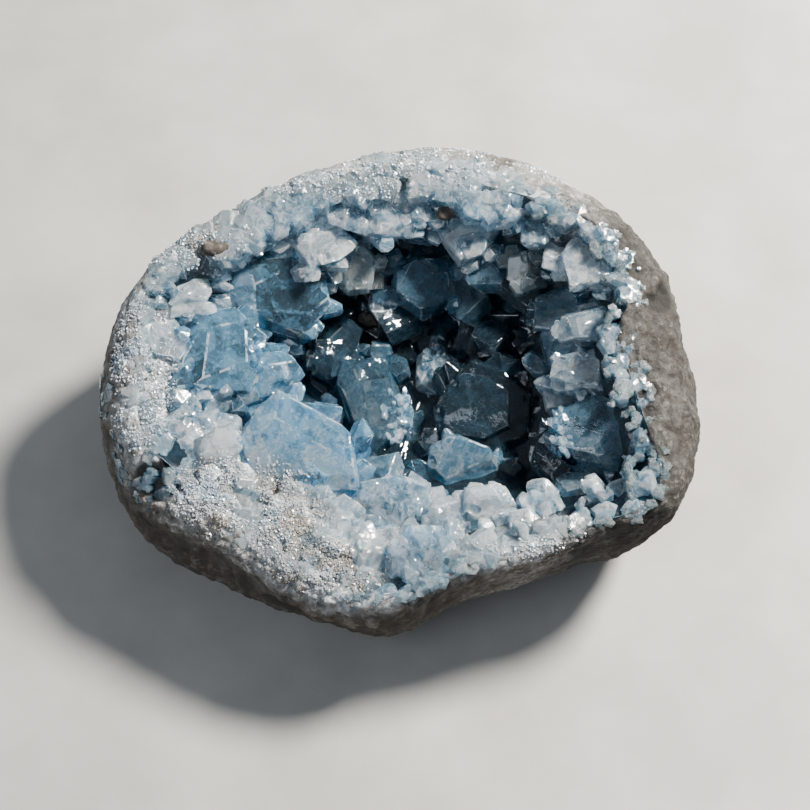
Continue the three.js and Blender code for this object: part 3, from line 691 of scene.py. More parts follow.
def crystal_body(crystal, edge, nicks, chance):
    """One crystal as points, triangles, each one's tone with painted light on the bevels, and which of
    them run along an edge.
    """
    planes = crystal_planes(crystal)
    _, normal, _, _, axis = crystal_frame(crystal)
    middle = np.mean(crown_corners(crystal), axis=0)
    inside = middle - axis * min(crystal.reach / 2, 4)
    if nicks:
        planes = nicked(planes, inside, nicks, chance)
    plain = len(planes)
    if edge:
        planes = chamfered(planes, inside, edge)
    triples, corners = body_corners(planes, inside)
    if triples is None:
        return None
    corners = np.unique(np.round(corners, 3), axis=0)
    faces = hull_triples(corners)
    nearest = nearest_planes(planes, corners[faces])
    facet_tones_and_light = np.array([chance() for _ in planes])
    slopes = np.array([plane @ normal for plane, _ in planes])
    bevels = (slopes > BEVEL_SLOPES[0]) & (slopes < BEVEL_SLOPES[1])
    # Painted light: the bevels are lighter, as if they caught the lamp.
    facet_tones_and_light[bevels] = 1 - BEVEL_PAINTED_LIGHT * (1 - facet_tones_and_light[bevels])
    return corners, faces, facet_tones_and_light[nearest], nearest >= plain


def random_crown(size, chance):
    """A crown with five or six sides, every other one with a wide bevel."""
    sides = 5 if chance() < 0.5 else 6
    turn = math.tau * chance()
    stretch = 1 + 0.5 * chance()
    slant = math.pi * chance()
    cos, sin = math.cos(slant), math.sin(slant)
    crown = []
    for i in range(sides):
        angle = turn - math.tau * (i + 0.3 * chance()) / sides
        u, v = size * stretch * math.cos(angle), size * math.sin(angle)
        crown.append((u * cos - v * sin, u * sin + v * cos, 0.45 * size if i % 2 else 0))
    return crown


LEAN_SHARE = 0.4
LEAN_SPREAD = 0.6
RIM_DEPTH = (0.6, 2.4)
LEVEL_STEP = 0.12


def wall_crystal(azimuth, level, size, stand, chance, reach):
    """A crystal that stands out of the lining towards the focus, its crown turned half upwards."""
    out = stand * (0.5 + chance())
    spread = [either_way(LEAN_SPREAD, chance) for _ in range(2)]
    crown = random_crown(size * (0.8 + 0.5 * chance()), chance)
    depth = vary(*RIM_DEPTH, chance)
    while True:
        wall = lining_point(np.array(azimuth), level)
        axis = unit(FOCUS - wall)
        at = wall + axis * out
        lean = [LEAN_SHARE * axis[i] / axis[2] - spread[i] for i in (0, 1)]
        tilt = math.hypot(lean[0] + RIM_SLOPE[0], lean[1] + RIM_SLOPE[1])
        if at[2] + tilt * size < rim_height(at[0], at[1]) - depth:
            return Crystal(at, lean, crown, reach, None)
        level += LEVEL_STEP


def fill_crystals():
    """The seeded crystals of the solids, the same ones in the same places."""
    chance = seeded_chance(FILL_SEED)
    found = []
    for level, count, size, stand in FILL_ROWS:
        for k in range(count):
            azimuth = math.tau * (k + 0.7 * chance()) / count
            place = level + either_way(0.6, chance)
            found.append(wall_crystal(azimuth, place, size, stand, chance, FILL_REACH))
    return found


# Small crystals between the others: place down the wall from and to, number, half a crown's
# breadth and how far they stand out.
SMALL_ROWS = (
    (-0.1, 0.5, 110, 2.2, 3.0),
    (0.4, 1.2, 120, 2.5, 4.5),
    (1.2, 2.6, 110, 3.0, 4.0),
    (2.6, 3.8, 66, 3.6, 2.4),
    (3.8, 5.0, 54, 3.6, 2.4),
    (5.0, 6.0, 40, 3.2, 1.8),
)
SMALL_SEED = 977
SMALL_REACH = 9
FILL_MARGIN = 1
SMALL_MARGIN = 0.5
FITTING_SHARES = (1, 0.8, 0.62, 0.45)
COVER_HEIGHT = -0.3
VIEWER = np.array((0, -0.5, math.sqrt(0.75)))


def small_crystals():
    chance = seeded_chance(SMALL_SEED)
    found = []
    for first, last, count, size, stand in SMALL_ROWS:
        for k in range(count):
            azimuth = math.tau * (k + 0.9 * chance()) / count
            place = between(first, last, chance)
            breadth = size * (0.5 + 0.8 * chance())
            found.append(wall_crystal(azimuth, place, breadth, stand, chance, SMALL_REACH))
    return found


def crown_shadow(crystal, points, direction):
    """How far in front of a crown points are, along a direction, and how far inside its outline."""
    at, normal, right, away, _ = crystal_frame(crystal)
    ahead = (points - at) @ normal / (direction @ normal)
    hit = points - direction * ahead[:, None] - at
    u, v = hit @ right, hit @ away
    inside = np.full(len(points), 99.0)
    for i, (u0, v0, _) in enumerate(crystal.crown):
        u1, v1, _ = crystal.crown[(i + 1) % len(crystal.crown)]
        side = (v1 - v0) * (u - u0) - (u1 - u0) * (v - v0)
        inside = np.minimum(inside, side / math.hypot(u1 - u0, v1 - v0))
    return ahead, inside


def covers(crystal, other, margin):
    """Whether a crystal stands on another's crown, or between it and the viewer."""
    points = np.array(crown_corners(crystal) + [np.array(crystal.at, float)])
    for direction in (crystal_frame(other)[4], VIEWER):
        ahead, inside = crown_shadow(other, points, direction)
        if ((ahead > COVER_HEIGHT) & (inside > margin)).any():
            return True
    return False


def clear_of(crystals, others, margin):
    """The crystals, made smaller where they would cover others, or left out."""
    found = []
    for crystal in crystals:
        for share in FITTING_SHARES:
            crown = [(u * share, v * share, width * share) for u, v, width in crystal.crown]
            smaller = crystal._replace(crown=crown)
            if not any(covers(smaller, other, margin) for other in others):
                found.append(smaller)
                break
    return found


# Growth plates: their share of the crown, how far aside, turned and up they are, edge and reach.
PLATE_SHARE = (0.4, 0.4)
PLATE_SHIFT = (0.4, 0.5)
PLATE_TURN = 0.4
PLATE_HEIGHT = (0.12, 0.25)
PLATE_BEVEL = 0.2
PLATE_REACH = 6
# Satellites: how many places stay empty, how far out, down and tilted they are, size and reach.
# A crown's side longer than LONG_SIDE has two. Down and size grow with the side's length.
SATELLITE_GAP = 0.3
LONG_SIDE = 9
SATELLITE_OUT = (1.02, 0.12)
SATELLITE_DOWN = (0.8, 0.4)
SATELLITE_TILT = 0.35
SATELLITE_SIZE = (1.6, 0.24)
SATELLITE_REACH = 10


def growth_plate(crystal, chance):
    """A thin step of growth on a crown, parallel to it."""
    at, normal, right, away, _ = crystal_frame(crystal)
    size = max(math.hypot(u, v) for u, v, _ in crystal.crown)
    share = vary(*PLATE_SHARE, chance)
    angle = math.tau * chance()
    shift = size * (0.9 - share) * vary(*PLATE_SHIFT, chance)
    turn = either_way(PLATE_TURN, chance)
    cos, sin = math.cos(turn) * share, math.sin(turn) * share
    crown = [(u * cos - v * sin, u * sin + v * cos, PLATE_BEVEL) for u, v, _ in crystal.crown]
    place = at + (right * math.cos(angle) + away * math.sin(angle)) * shift
    at = place + normal * vary(*PLATE_HEIGHT, chance)
    return Crystal(at, crystal.lean, crown, PLATE_REACH, None)


def satellites(crystal, chance):
    """Smaller crystals round a crown's edge, nearly parallel to it."""
    at, _, right, away, axis = crystal_frame(crystal)
    crown = crystal.crown
    found = []
    for i, (u, v, _) in enumerate(crown):
        after = crown[(i + 1) % len(crown)]
        length = math.hypot(after[0] - u, after[1] - v)
        for _ in range(1 + int(length > LONG_SIDE)):
            if chance() < SATELLITE_GAP:
                continue
            along = chance()
            out = vary(*SATELLITE_OUT, chance)
            place = [(p + (q - p) * along) * out for p, q in ((u, after[0]), (v, after[1]))]
            down = SATELLITE_DOWN[0] + SATELLITE_DOWN[1] * length * chance()
            point = at + right * place[0] + away * place[1] - axis * down
            tilt = [slope + either_way(SATELLITE_TILT, chance) for slope in crystal.lean]
            size = SATELLITE_SIZE[0] + SATELLITE_SIZE[1] * length * chance()
            found.append(Crystal(point, tilt, random_crown(size, chance), SATELLITE_REACH, None))
    return found


# Broken, sparkling spots: crystal, place on its crown, half-sizes, and number of bits.
BROKEN_SPOTS = (
    ("middle_left", (6, -2), (4, 7), 34),
    ("right_large", (-8, 0), (3, 5), 26),
    ("middle_spark", (0, 1), (4, 5), 26),
    ("front_inner", (2, 1), (3, 4), 16),
    ("great", (2, -9), (3, 2), 12),
    ("left_middle", (7, 0), (2.5, 5), 14),
    ("right_white_edge", (-3, 3), (5, 2), 16),
)
SPOT_SEED = 4049
# The bits: height over the crown, tilt, half a crown's breadth, and reach.
BIT_HEIGHT = (0.1, 0.25)
BIT_TILT = 1.3
BIT_SIZE = (0.5, 0.8)
BIT_REACH = 3


def broken_bits(named, finishes):
    """Small tilted chips that break up a smooth face, blue on the blue and bright crystals and glassy on
    the others.
    """
    chance = seeded_chance(SPOT_SEED)
    found = []
    for name, place, half, count in BROKEN_SPOTS:
        at, normal, right, away, _ = crystal_frame(named[name])
        for _ in range(count):
            angle, out = math.tau * chance(), math.sqrt(chance())
            u = place[0] + half[0] * out * math.cos(angle)
            v = place[1] + half[1] * out * math.sin(angle)
            point = at + right * u + away * v + normal * vary(*BIT_HEIGHT, chance)
            tilt = [slope + either_way(BIT_TILT, chance) for slope in named[name].lean]
            crown = random_crown(vary(*BIT_SIZE, chance), chance)
            bit = Crystal(point, tilt, crown, BIT_REACH, None)
            found.append((bit, "blue" if finishes[name] in ("blue", "bright") else "glassy"))
    return found


# Crystals cut nearly flush at the rim, and those on the outside near it: azimuth from and to, arc
# from and to, number, half a crown's breadth, finish. Past 2 the arc goes inwards on the mouth.
RIM_ZONES = (
    (0, 360, 1.96, 2.06, 150, 2.2, "glassy"),
    (45, 165, 1.75, 2.05, 130, 2.5, "ground"),
    (150, 235, 1.86, 2.05, 60, 1.8, "ground"),
    (215, 300, 1.78, 2.05, 130, 1.7, "ground"),
    (180, 214, 1.2, 1.8, 70, 1.6, "small"),
    (278, 318, 1.9, 2.08, 60, 1.6, "grey"),
    (318, 360, 1.84, 2.12, 110, 1.1, "grey"),
    (0, 45, 1.86, 2.08, 80, 1.1, "grey"),
    (52, 150, 2.02, 2.15, 100, 2.4, "glassy"),
)
RIM_SEED = 5231
# The rim's crystals: height over the rock, tilt, turn of the axis, size share and reach.
RIM_STAND = (-0.3, 0.7)
RIM_TILT = 0.3
RIM_TURN = 0.5
RIM_SIZE = (0.5, 0.9)
RIM_REACH = 4.5
LEAST_UPWARD = 0.25


def rim_point(azimuth, arc):
    """A point of the rock's outside, or past arc 2 of the mouth's plane."""
    if arc <= 2:
        return outside_point(np.array(azimuth), np.array(arc))
    radius = around(MOUTH, azimuth) * (3 - arc)
    x, y = radius * math.cos(azimuth), radius * math.sin(azimuth)
    return np.array([x, y, rim_height(x, y)])


def rim_normal(azimuth, arc):
    if arc > 2:
        return unit((-RIM_SLOPE[0], -RIM_SLOPE[1], 1))
    step = 0.02
    along = rim_point(azimuth + step, arc) - rim_point(azimuth - step, arc)
    up = rim_point(azimuth, min(arc + step, 2)) - rim_point(azimuth, arc - step)
    return unit(np.cross(along, up))


def rim_crystals():
    chance = seeded_chance(RIM_SEED)
    found = []
    for first, last, low, high, count, size, finish in RIM_ZONES:
        for _ in range(count):
            azimuth = math.radians(between(first, last, chance))
            arc = between(low, high, chance)
            normal = rim_normal(azimuth, arc)
            normal[2] = max(normal[2], LEAST_UPWARD)
            point = rim_point(azimuth, arc) + normal * vary(*RIM_STAND, chance)
            lean = [normal[i] / normal[2] + either_way(RIM_TILT, chance) for i in (0, 1)]
            axis = unit([part + either_way(RIM_TURN, chance) for part in normal])
            crown = random_crown(size * vary(*RIM_SIZE, chance), chance)
            found.append((Crystal(point, lean, crown, RIM_REACH, axis), finish))
    return found


# Rounded chips out of the named crystals' edges: how often there is none, half a chip's breadth
# from and to, and how far its middle is from the edge.
CHIP_GAP = 0.6
CHIP_SIZE = (1.1, 3.2)
CHIP_OUT = 0.8
CHIP_SEED = 733
CHIP_UNEVENNESS = 0.16
CHIP_COUNT_LENGTH = 7


def ball():
    """Points and faces of a ball of size 1."""
    shape = bmesh.new()
    bmesh.ops.create_icosphere(shape, subdivisions=3, radius=1)
    shape.verts.index_update()
    points = np.array([vert.co[:] for vert in shape.verts])
    faces = [[vert.index for vert in face.verts] for face in shape.faces]
    shape.free()
    return points, faces


def chip_places(named):
    """The middle, size, long direction and finish of each rounded chip."""
    chance = seeded_chance(CHIP_SEED)
    for name, finish, _, _, _ in CRYSTALS:
        crystal = named[name]
        normal = crystal_frame(crystal)[1]
        corners = crown_corners(crystal)
        for i, start in enumerate(corners):
            edge = corners[(i + 1) % len(corners)] - start
            outward = unit(np.cross(normal, edge))
            for _ in range(1 + int(np.linalg.norm(edge) / CHIP_COUNT_LENGTH)):
                place, size, skip = chance(), chance(), chance()
                radius = CHIP_SIZE[0] + (CHIP_SIZE[1] - CHIP_SIZE[0]) * size**2
                out = CHIP_OUT * radius - 0.5 * crystal.crown[i][2]
                if skip > CHIP_GAP:
                    middle = start + edge * place + unit(-outward + normal) * out
                    yield middle, radius, unit(edge), finish


# Edge width and depth of the cut corners for each sort of crystal.
LARGE_EDGE = (0.3, 1.8)
MIDDLE_EDGE = (0.22, 1.1)
SMALL_EDGE = (0.15, 0.6)
PLATE_EDGE = (0.1, 0.8)
NO_EDGE = (0, 0)
GROWTH_SEED = 613
# Extra shallow facets: those read from the photo, and place and slope of the others.
OWN_FACETS = {
    "great": ((-3.8, 2.9, 4.5, -2.2, 0.17), (-9, -3, -12, 4, 0.12)),
    "left_upper": ((11, -1, 2, -8, 0.3), (-6, 3, 0, 6, 0.1)),
    "left_middle": ((4, 9, 5, -9, 0.22), (-6, -7, -5, 4, 0.15)),
}
FACET_PLACE = (0.15, 0.55)
FACET_SLOPE = (0.1, 0.32)
FACET_SEED = 1553
BODY_SEED = 271


# The finish of the crystals between the named ones, by depth under the rim: darker further down, as
# painted shade of the hollow.
DEPTH_SHADE_FINISHES = ((5, "pale"), (12, "glassy"), (18, "small"), (math.inf, "deep_shaded"))


def depth_shaded_finish(crystal, chance):
    """Paler near the rim and at the front, darker far down and at the back, as painted shade of the
    hollow.
    """
    x, y, z = crystal.at
    depth = rim_height(x, y) - z + 0.12 * (y + 20) + either_way(5, chance)
    return next(finish for most, finish in DEPTH_SHADE_FINISHES if depth < most)


def random_facet(crown, chance):
    """A shallow cut off one side of a crown."""
    size = max(math.hypot(u, v) for u, v, _ in crown)
    turn = math.tau * chance()
    out = size * between(*FACET_PLACE, chance)
    slope = between(*FACET_SLOPE, chance)
    u, v = out * math.cos(turn), out * math.sin(turn)
    return u, v, u + math.sin(turn), v - math.cos(turn), slope


def named_crystals():
    chance = seeded_chance(FACET_SEED)
    found = {}
    for name, _, at, lean, crown in CRYSTALS:
        facets = [random_facet(crown, chance) for _ in range(2)]
        facets = OWN_FACETS.get(name, facets)
        found[name] = Crystal(at, lean, crown, CROWN_REACH, None, facets)
    return found


def inner_crystals():
    """Every crystal within the hollow, with its finish, edge width and cut corners."""
    named = named_crystals()
    chance = seeded_chance(GROWTH_SEED)
    finishes = {name: finish for name, finish, _, _, _ in CRYSTALS}
    found = [(named[name], finish, *LARGE_EDGE) for name, finish in finishes.items()]
    for name, finish in finishes.items():
        if chance() < 0.5 and name not in OWN_FACETS:
            found.append((growth_plate(named[name], chance), finish, *PLATE_EDGE))
        found += [(crystal, finish, *SMALL_EDGE) for crystal in satellites(named[name], chance)]
    for between_them, margin, edge in (
        (fill_crystals(), FILL_MARGIN, MIDDLE_EDGE),
        (small_crystals(), SMALL_MARGIN, SMALL_EDGE),
    ):
        clear = clear_of(between_them, list(named.values()), margin)
        found += [(crystal, depth_shaded_finish(crystal, chance), *edge) for crystal in clear]
    found += [(bit, finish, *NO_EDGE) for bit, finish in broken_bits(named, finishes)]
    return found


# Joining the crystals


def face_attributes(mesh, finish, tone, chipped):
    """Mark a mesh's faces with a finish, and with a tone and how chipped they are, all or each."""
    count = len(mesh.polygons)
    for name, value in zip(FACE_NAMES, FINISHES[finish] + (tone, chipped)):
        layer = mesh.attributes.new(name, "FLOAT", "FACE")
        layer.data.foreach_set("value", np.full(count, value, np.float32))


WALL_OVERLAP = -0.4
OUTER_CAP = 5
CAP_ROUGHNESS = 0.9
OPEN_FLOOR = 9
OPEN_TOP = 24
BODY_COLUMNS = 160


def hollow_body():
    """The space that the crystals may fill: a little into the rock, and up to a rough cap."""
    azimuth = np.linspace(0, math.tau, BODY_COLUMNS, endpoint=False)
    levels = np.linspace(len(HOLLOW_PROFILE) - 1, 0, 13)
    rings = [hollow_point(azimuth, profile_at(level), WALL_OVERLAP) for level in levels]
    edge_x, edge_y = rings[-1][:, 0], rings[-1][:, 1]
    for share in np.linspace(1, 0, 26)[1:-1]:
        x, y = edge_x * share, edge_y * share
        z = rim_height(x, y) + OUTER_CAP * (1 - share**CAP_EDGE)
        points = np.stack([x, y, z], -1)
        points[:, 2] += CAP_ROUGHNESS * layered_noise(points, 6, 41)
        rings.append(points)
    floor = np.add(HOLLOW_FLOOR, (0, 0, -0.3))
    return closed_rings(np.array(rings), floor, (0, 0, RIM_HEIGHT + OUTER_CAP))


def open_body():
    """The open space within the lining, wavy, and carried up past the cap."""
    azimuth = np.linspace(0, math.tau, BODY_COLUMNS, endpoint=False)
    rings = []
    for level in np.linspace(len(HOLLOW_PROFILE) - 1, 0, 20):
        shares = profile_at(level)
        wall = hollow_point(azimuth, shares, -0.2)
        thickness = smooth_step(0, 1.2, level)
        points = wall + (towards_focus(wall, shares[1]) - wall) * thickness
        inward = FOCUS - points
        inward /= np.linalg.norm(inward, axis=1, keepdims=True)
        rings.append(points + inward * (1.2 * thickness * layered_noise(points, 4, 53))[:, None])
    rings.append(rings[-1] + (0, 0, OPEN_TOP))
    floor = np.add(HOLLOW_FLOOR, (0, 0, OPEN_FLOOR))
    return closed_rings(np.array(rings), floor, (0, 0, RIM_HEIGHT + 40))


def joining_nodes(inner, chips, rim, hollow, open_space):
    """Geometry nodes that join the crystals, chip the inner ones and cut them to the hollow."""
    tree = bpy.data.node_groups.new("join_crystals", "GeometryNodeTree")
    tree.interface.new_socket("Geometry", in_out="OUTPUT", socket_type="NodeSocketGeometry")

    def add(kind, **inputs):
        node = tree.nodes.new("GeometryNode" + kind)
        for name, value in inputs.items():
            node.inputs[name.replace("_", " ")].default_value = value
        return node

    def boolean(operation, *meshes):
        node = add("MeshBoolean")
        node.operation = operation
        node.solver = "MANIFOLD"
        if operation == "DIFFERENCE":
            tree.links.new(meshes[0], node.inputs["Mesh 1"])
            meshes = meshes[1:]
        for mesh in meshes:
            tree.links.new(mesh, node.inputs["Mesh 2"])
        return node.outputs["Mesh"]

    inner, chips, rim = (
        add("CollectionInfo", Collection=group, Separate_Children=True).outputs[0]
        for group in (inner, chips, rim)
    )
    hollow, open_space = (
        add("ObjectInfo", Object=piece).outputs["Geometry"] for piece in (hollow, open_space)
    )
    chipped = boolean("DIFFERENCE", boolean("UNION", inner), boolean("UNION", chips))
    grown = boolean("INTERSECT", chipped, hollow)
    lining = boolean("DIFFERENCE", hollow, open_space)
    joined = boolean("UNION", grown, lining, boolean("UNION", rim))
    tree.links.new(joined, tree.nodes.new("NodeGroupOutput").inputs[0])
    return tree


def new_group(name):
    group = bpy.data.collections.new(name)
    bpy.context.scene.collection.children.link(group)
    return group


def add_body(group, name, points, faces, marks):
    """A closed mesh of its own in a collection, with its faces marked."""
    mesh = bpy.data.meshes.new(name)
    mesh.from_pydata((points * MM).tolist(), [], faces)
    face_attributes(mesh, *marks)
    group.objects.link(bpy.data.objects.new(name, mesh))


def chip_balls(named):
    """A collection of squashed balls that cut rounded chips out of the crystals' edges."""
    points, faces = ball()
    group = new_group("chips")
    for middle, radius, along, finish in chip_places(named):
        squashed = points * radius * 0.8 + np.outer(points @ along, along) * radius * 0.3
        squashed *= 1 + CHIP_UNEVENNESS * layered_noise(squashed + middle, 1.6, 97, 2)[:, None]
        add_body(group, "chip", squashed + middle, faces, (finish, 0.75, 0))
    return group


def evaluated_mesh(piece):
    graph = bpy.context.evaluated_depsgraph_get()
    return bpy.data.meshes.new_from_object(piece.evaluated_get(graph))


def drop_object(piece):
    mesh = piece.data
    bpy.data.objects.remove(piece)
    bpy.data.meshes.remove(mesh)


def largest_body(shape):
    """Delete all but the largest connected part of a bmesh."""
    left = set(shape.verts)
    parts = []
    while left:
        start = left.pop()
        part, queue = {start}, [start]
        while queue:
            for edge in queue.pop().link_edges:
                for vert in edge.verts:
                    if vert in left:
                        left.discard(vert)
                        part.add(vert)
                        queue.append(vert)
        parts.append(part)
    parts.sort(key=len, reverse=True)
    spare = [vert for part in parts[1:] for vert in part]
    bmesh.ops.delete(shape, geom=spare, context="VERTS")


# Sugar-like crystals on the rock and on the crystals: the middle of a patch, its half-sizes, how many
# grow there, and half a grain's breadth.
SUGAR_PATCHES = (
    ((-36, -36, 42), (25, 14.5, 14), 5400, 0.18),
    ((-16, -50, 38), (17, 8, 10), 2300, 0.18),
    ((-62, -4, 44), (9, 22, 10), 3000, 0.17),
    ((-50, 32, 52), (16, 10, 10), 1000, 0.19),
    ((0, 48, 58), (46, 10, 10), 1600, 0.19),
    ((30, -44, 38), (16, 6, 7), 700, 0.17),
)

FINE_EDGE = 5.9
SHARP_ANGLE = math.radians(16)
SPLIT_ROUNDS = 4
FACE_WAVE = (0.1, 3.2)


def split_edges(mesh):
    """Keep the largest body, split its long edges, and mark the edges that stay sharp."""
    shape = bmesh.new()
    shape.from_mesh(mesh)
    largest_body(shape)
    for _ in range(SPLIT_ROUNDS):
        long_edges = [e for e in shape.edges if e.calc_length() > FINE_EDGE * MM]
        if not long_edges:
            break
        bmesh.ops.subdivide_edges(shape, edges=long_edges, cuts=1)
        bmesh.ops.triangulate(shape, faces=[f for f in shape.faces if len(f.verts) > 3])
    for edge in shape.edges:
        edge.smooth = not (edge.is_manifold and edge.calc_face_angle(0) > SHARP_ANGLE)
    for face in shape.faces:
        face.smooth = True
    shape.to_mesh(mesh)
    shape.free()


def wave_faces(mesh):
    """Wave the faces a little, and mark where sugar grows on them."""
    points = mesh_points(mesh)
    height, size = FACE_WAVE
    waves = [layered_noise(points, size, 61 + 7 * axis, 3) for axis in range(3)]
    points = points + height * np.stack(waves, -1)
    mesh.vertices.foreach_set("co", (points * MM).ravel())
    mesh.update()
    sugar = np.zeros(len(points))
    for middle, half, _, _ in SUGAR_PATCHES:
        near = (((points - middle) / half) ** 2).sum(axis=1) + 0.5 * layered_noise(points, 5, 83)
        sugar = np.maximum(sugar, 1 - smooth_step(0.5, 1.3, near))
    point_attribute(mesh, "sugar", sugar)


def single_bodies(name, crystals, chance):
    """A collection with one closed mesh for each crystal."""
    group = new_group(name)
    for crystal, finish, edge, nicks in crystals:
        body = crystal_body(crystal, edge, nicks, chance)
        tone = chance()
        if body:
            points, faces, facet_tones_and_light, chipped = body
            marks = (finish, tone + (facet_tones_and_light - tone) * FACET_SHARE, chipped)
            add_body(group, "single", points, faces.tolist(), marks)
    return group


def joined_mesh():
    """All of the crystals as one mesh, closed and cut to the hollow."""
    chance = seeded_chance(BODY_SEED)
    inner = single_bodies("inner", inner_crystals(), chance)
    rim = single_bodies("rim", [(c, finish, *NO_EDGE) for c, finish in rim_crystals()], chance)
    chips = chip_balls(named_crystals())
    hollow = make_object("hollow_space", *hollow_body())
    open_space = make_object("open_space", *open_body())
    face_attributes(hollow.data, "ground", 0.5, 0)
    # The lining's open face takes the darkest finish: painted shade on the hollow's floor.
    face_attributes(open_space.data, "deep_shaded", 0.5, 0)
    joined = make_object("joined", [], [])
    tree = joining_nodes(inner, chips, rim, hollow, open_space)
    joined.modifiers.new("join", "NODES").node_group = tree
    mesh = evaluated_mesh(joined)
    for part in [*inner.objects, *chips.objects, *rim.objects, hollow, open_space, joined]:
        drop_object(part)
    for group in (inner, chips, rim):
        bpy.data.collections.remove(group)
    bpy.data.node_groups.remove(tree)
    return mesh


def build_crystals(material):
    mesh = joined_mesh()
    split_edges(mesh)
    wave_faces(mesh)
    mesh.validate()
    mesh.name = "crystal_mass"
    mesh.materials.clear()
    mesh.materials.append(material)
    mesh.polygons.foreach_set("material_index", np.zeros(len(mesh.polygons), np.int32))
    piece = new_object("crystal_mass", mesh)
    weigh_normals(piece)
    return piece


def weigh_normals(piece):
    """Round the shading over narrow edge faces, and keep it flat on the large ones."""
    modifier = piece.modifiers.new("normals", "WEIGHTED_NORMAL")
    modifier.keep_sharp = True
    piece.data = evaluated_mesh(piece)
    piece.modifiers.clear()


# Bits of brown rock among the crystals: a point of the line of sight to each, and its size.
ROCK_BITS = (
    ((-6.5, 18, 38), 2.3),
    ((13, 36, 57), 1.7),
    ((-45, 29, 52), 2.4),
)


def seen_point(aim, grounds):
    """The first point of several pieces on the line of sight through a point."""
    view = Vector(VIEWER)
    hits = [ground.ray_cast(Vector(aim) * MM + view * 0.2, -view) for ground in grounds]
    return np.array(max((place for hit, place, _, _ in hits if hit), key=view.dot)) / MM


def rock_bits(material, grounds):
    """Small rough lumps of rock that sit on other pieces."""
    ball_points, ball_faces = ball()
    points, faces = [], []
    for aim, size in ROCK_BITS:
        lump = (ball_points * (1.3, 1.0, 0.7) - (0, 0, 0.35)) * size + seen_point(aim, grounds)
        lump += ball_points * size * (0.7 * layered_noise(lump, 2.2, 71))[:, None]
        faces += [[i + len(points) * len(ball_points) for i in face] for face in ball_faces]
        points.append(lump)
    points = np.vstack(points)
    piece = make_object("rock_bits", points, faces, material)
    piece.data.shade_smooth()
    point_attribute(piece.data, "brown", np.ones(len(points)))
    point_attribute(piece.data, "relief", 1.6 * layered_noise(points, 1.2, 73))
    return piece


SUGAR_SEED = 1877


def random_turns(count, random):
    """Rotation matrices in random directions, from random unit quaternions."""
    q = random.normal(size=(count, 4))
    q /= np.linalg.norm(q, axis=1, keepdims=True)
    w, x, y, z = q.T
    rows = [
        [1 - 2 * (y * y + z * z), 2 * (x * y - z * w), 2 * (x * z + y * w)],
        [2 * (x * y + z * w), 1 - 2 * (x * x + z * z), 2 * (y * z - x * w)],
        [2 * (x * z - y * w), 2 * (y * z + x * w), 1 - 2 * (x * x + y * y)],
    ]
    return np.moveaxis(np.array(rows), 2, 0)


BOX_CORNERS = np.array(list(product((-1, 1), repeat=3)), float)
BOX_FACES = np.array([
    (0, 1, 3, 2), (4, 6, 7, 5), (0, 4, 5, 1), (2, 3, 7, 6), (0, 2, 6, 4), (1, 5, 7, 3),
])


def surface_spots(pieces, random):
    """Random places on the pieces' faces within the sugar patches, and a size for each."""
    triangles = []
    for piece in pieces:
        mesh = piece.data
        mesh.calc_loop_triangles()
        index = np.empty(len(mesh.loop_triangles) * 3, np.int32)
        mesh.loop_triangles.foreach_get("vertices", index)
        triangles.append(mesh_points(mesh)[index.reshape(-1, 3)])
    triangles = np.vstack(triangles)
    middles = triangles.mean(axis=1)
    cross = np.cross(triangles[:, 1] - triangles[:, 0], triangles[:, 2] - triangles[:, 0])
    weight = np.linalg.norm(cross, axis=1) * (cross[:, 2] > 0)
    thick = smooth_step(-0.35, 0.3, layered_noise(middles, 7, 83))
    places, sizes = [], []
    for middle, half, count, size in SUGAR_PATCHES:
        near = (((middles - middle) / half) ** 2).sum(axis=1)
        share = weight * thick * (1 - smooth_step(0.4, 1.1, near))
        chosen = random.choice(len(triangles), count, p=share / share.sum())
        parts = random.dirichlet((1, 1, 1), count)
        places.append(np.einsum("ni,nij->nj", parts, triangles[chosen]))
        sizes.append(size * random.uniform(0.45, 1.5, count))
    return np.vstack(places), np.concatenate(sizes)


def build_druse(material, pieces):
    random = np.random.default_rng(SUGAR_SEED)
    places, sizes = surface_spots(pieces, random)
    count = len(places)
    stretch = random.uniform(0.6, 1.3, (count, 1, 3)) * sizes[:, None, None]
    corners = BOX_CORNERS * stretch * (1 + random.normal(0, 0.08, (count, 8, 3)))
    corners = np.einsum("nij,nkj->nki", random_turns(count, random), corners) + places[:, None, :]
    faces = (BOX_FACES[None] + 8 * np.arange(count)[:, None, None]).reshape(-1, 4)
    return make_object("sugar_druse", corners.reshape(-1, 3), faces.tolist(), material)


# Materials


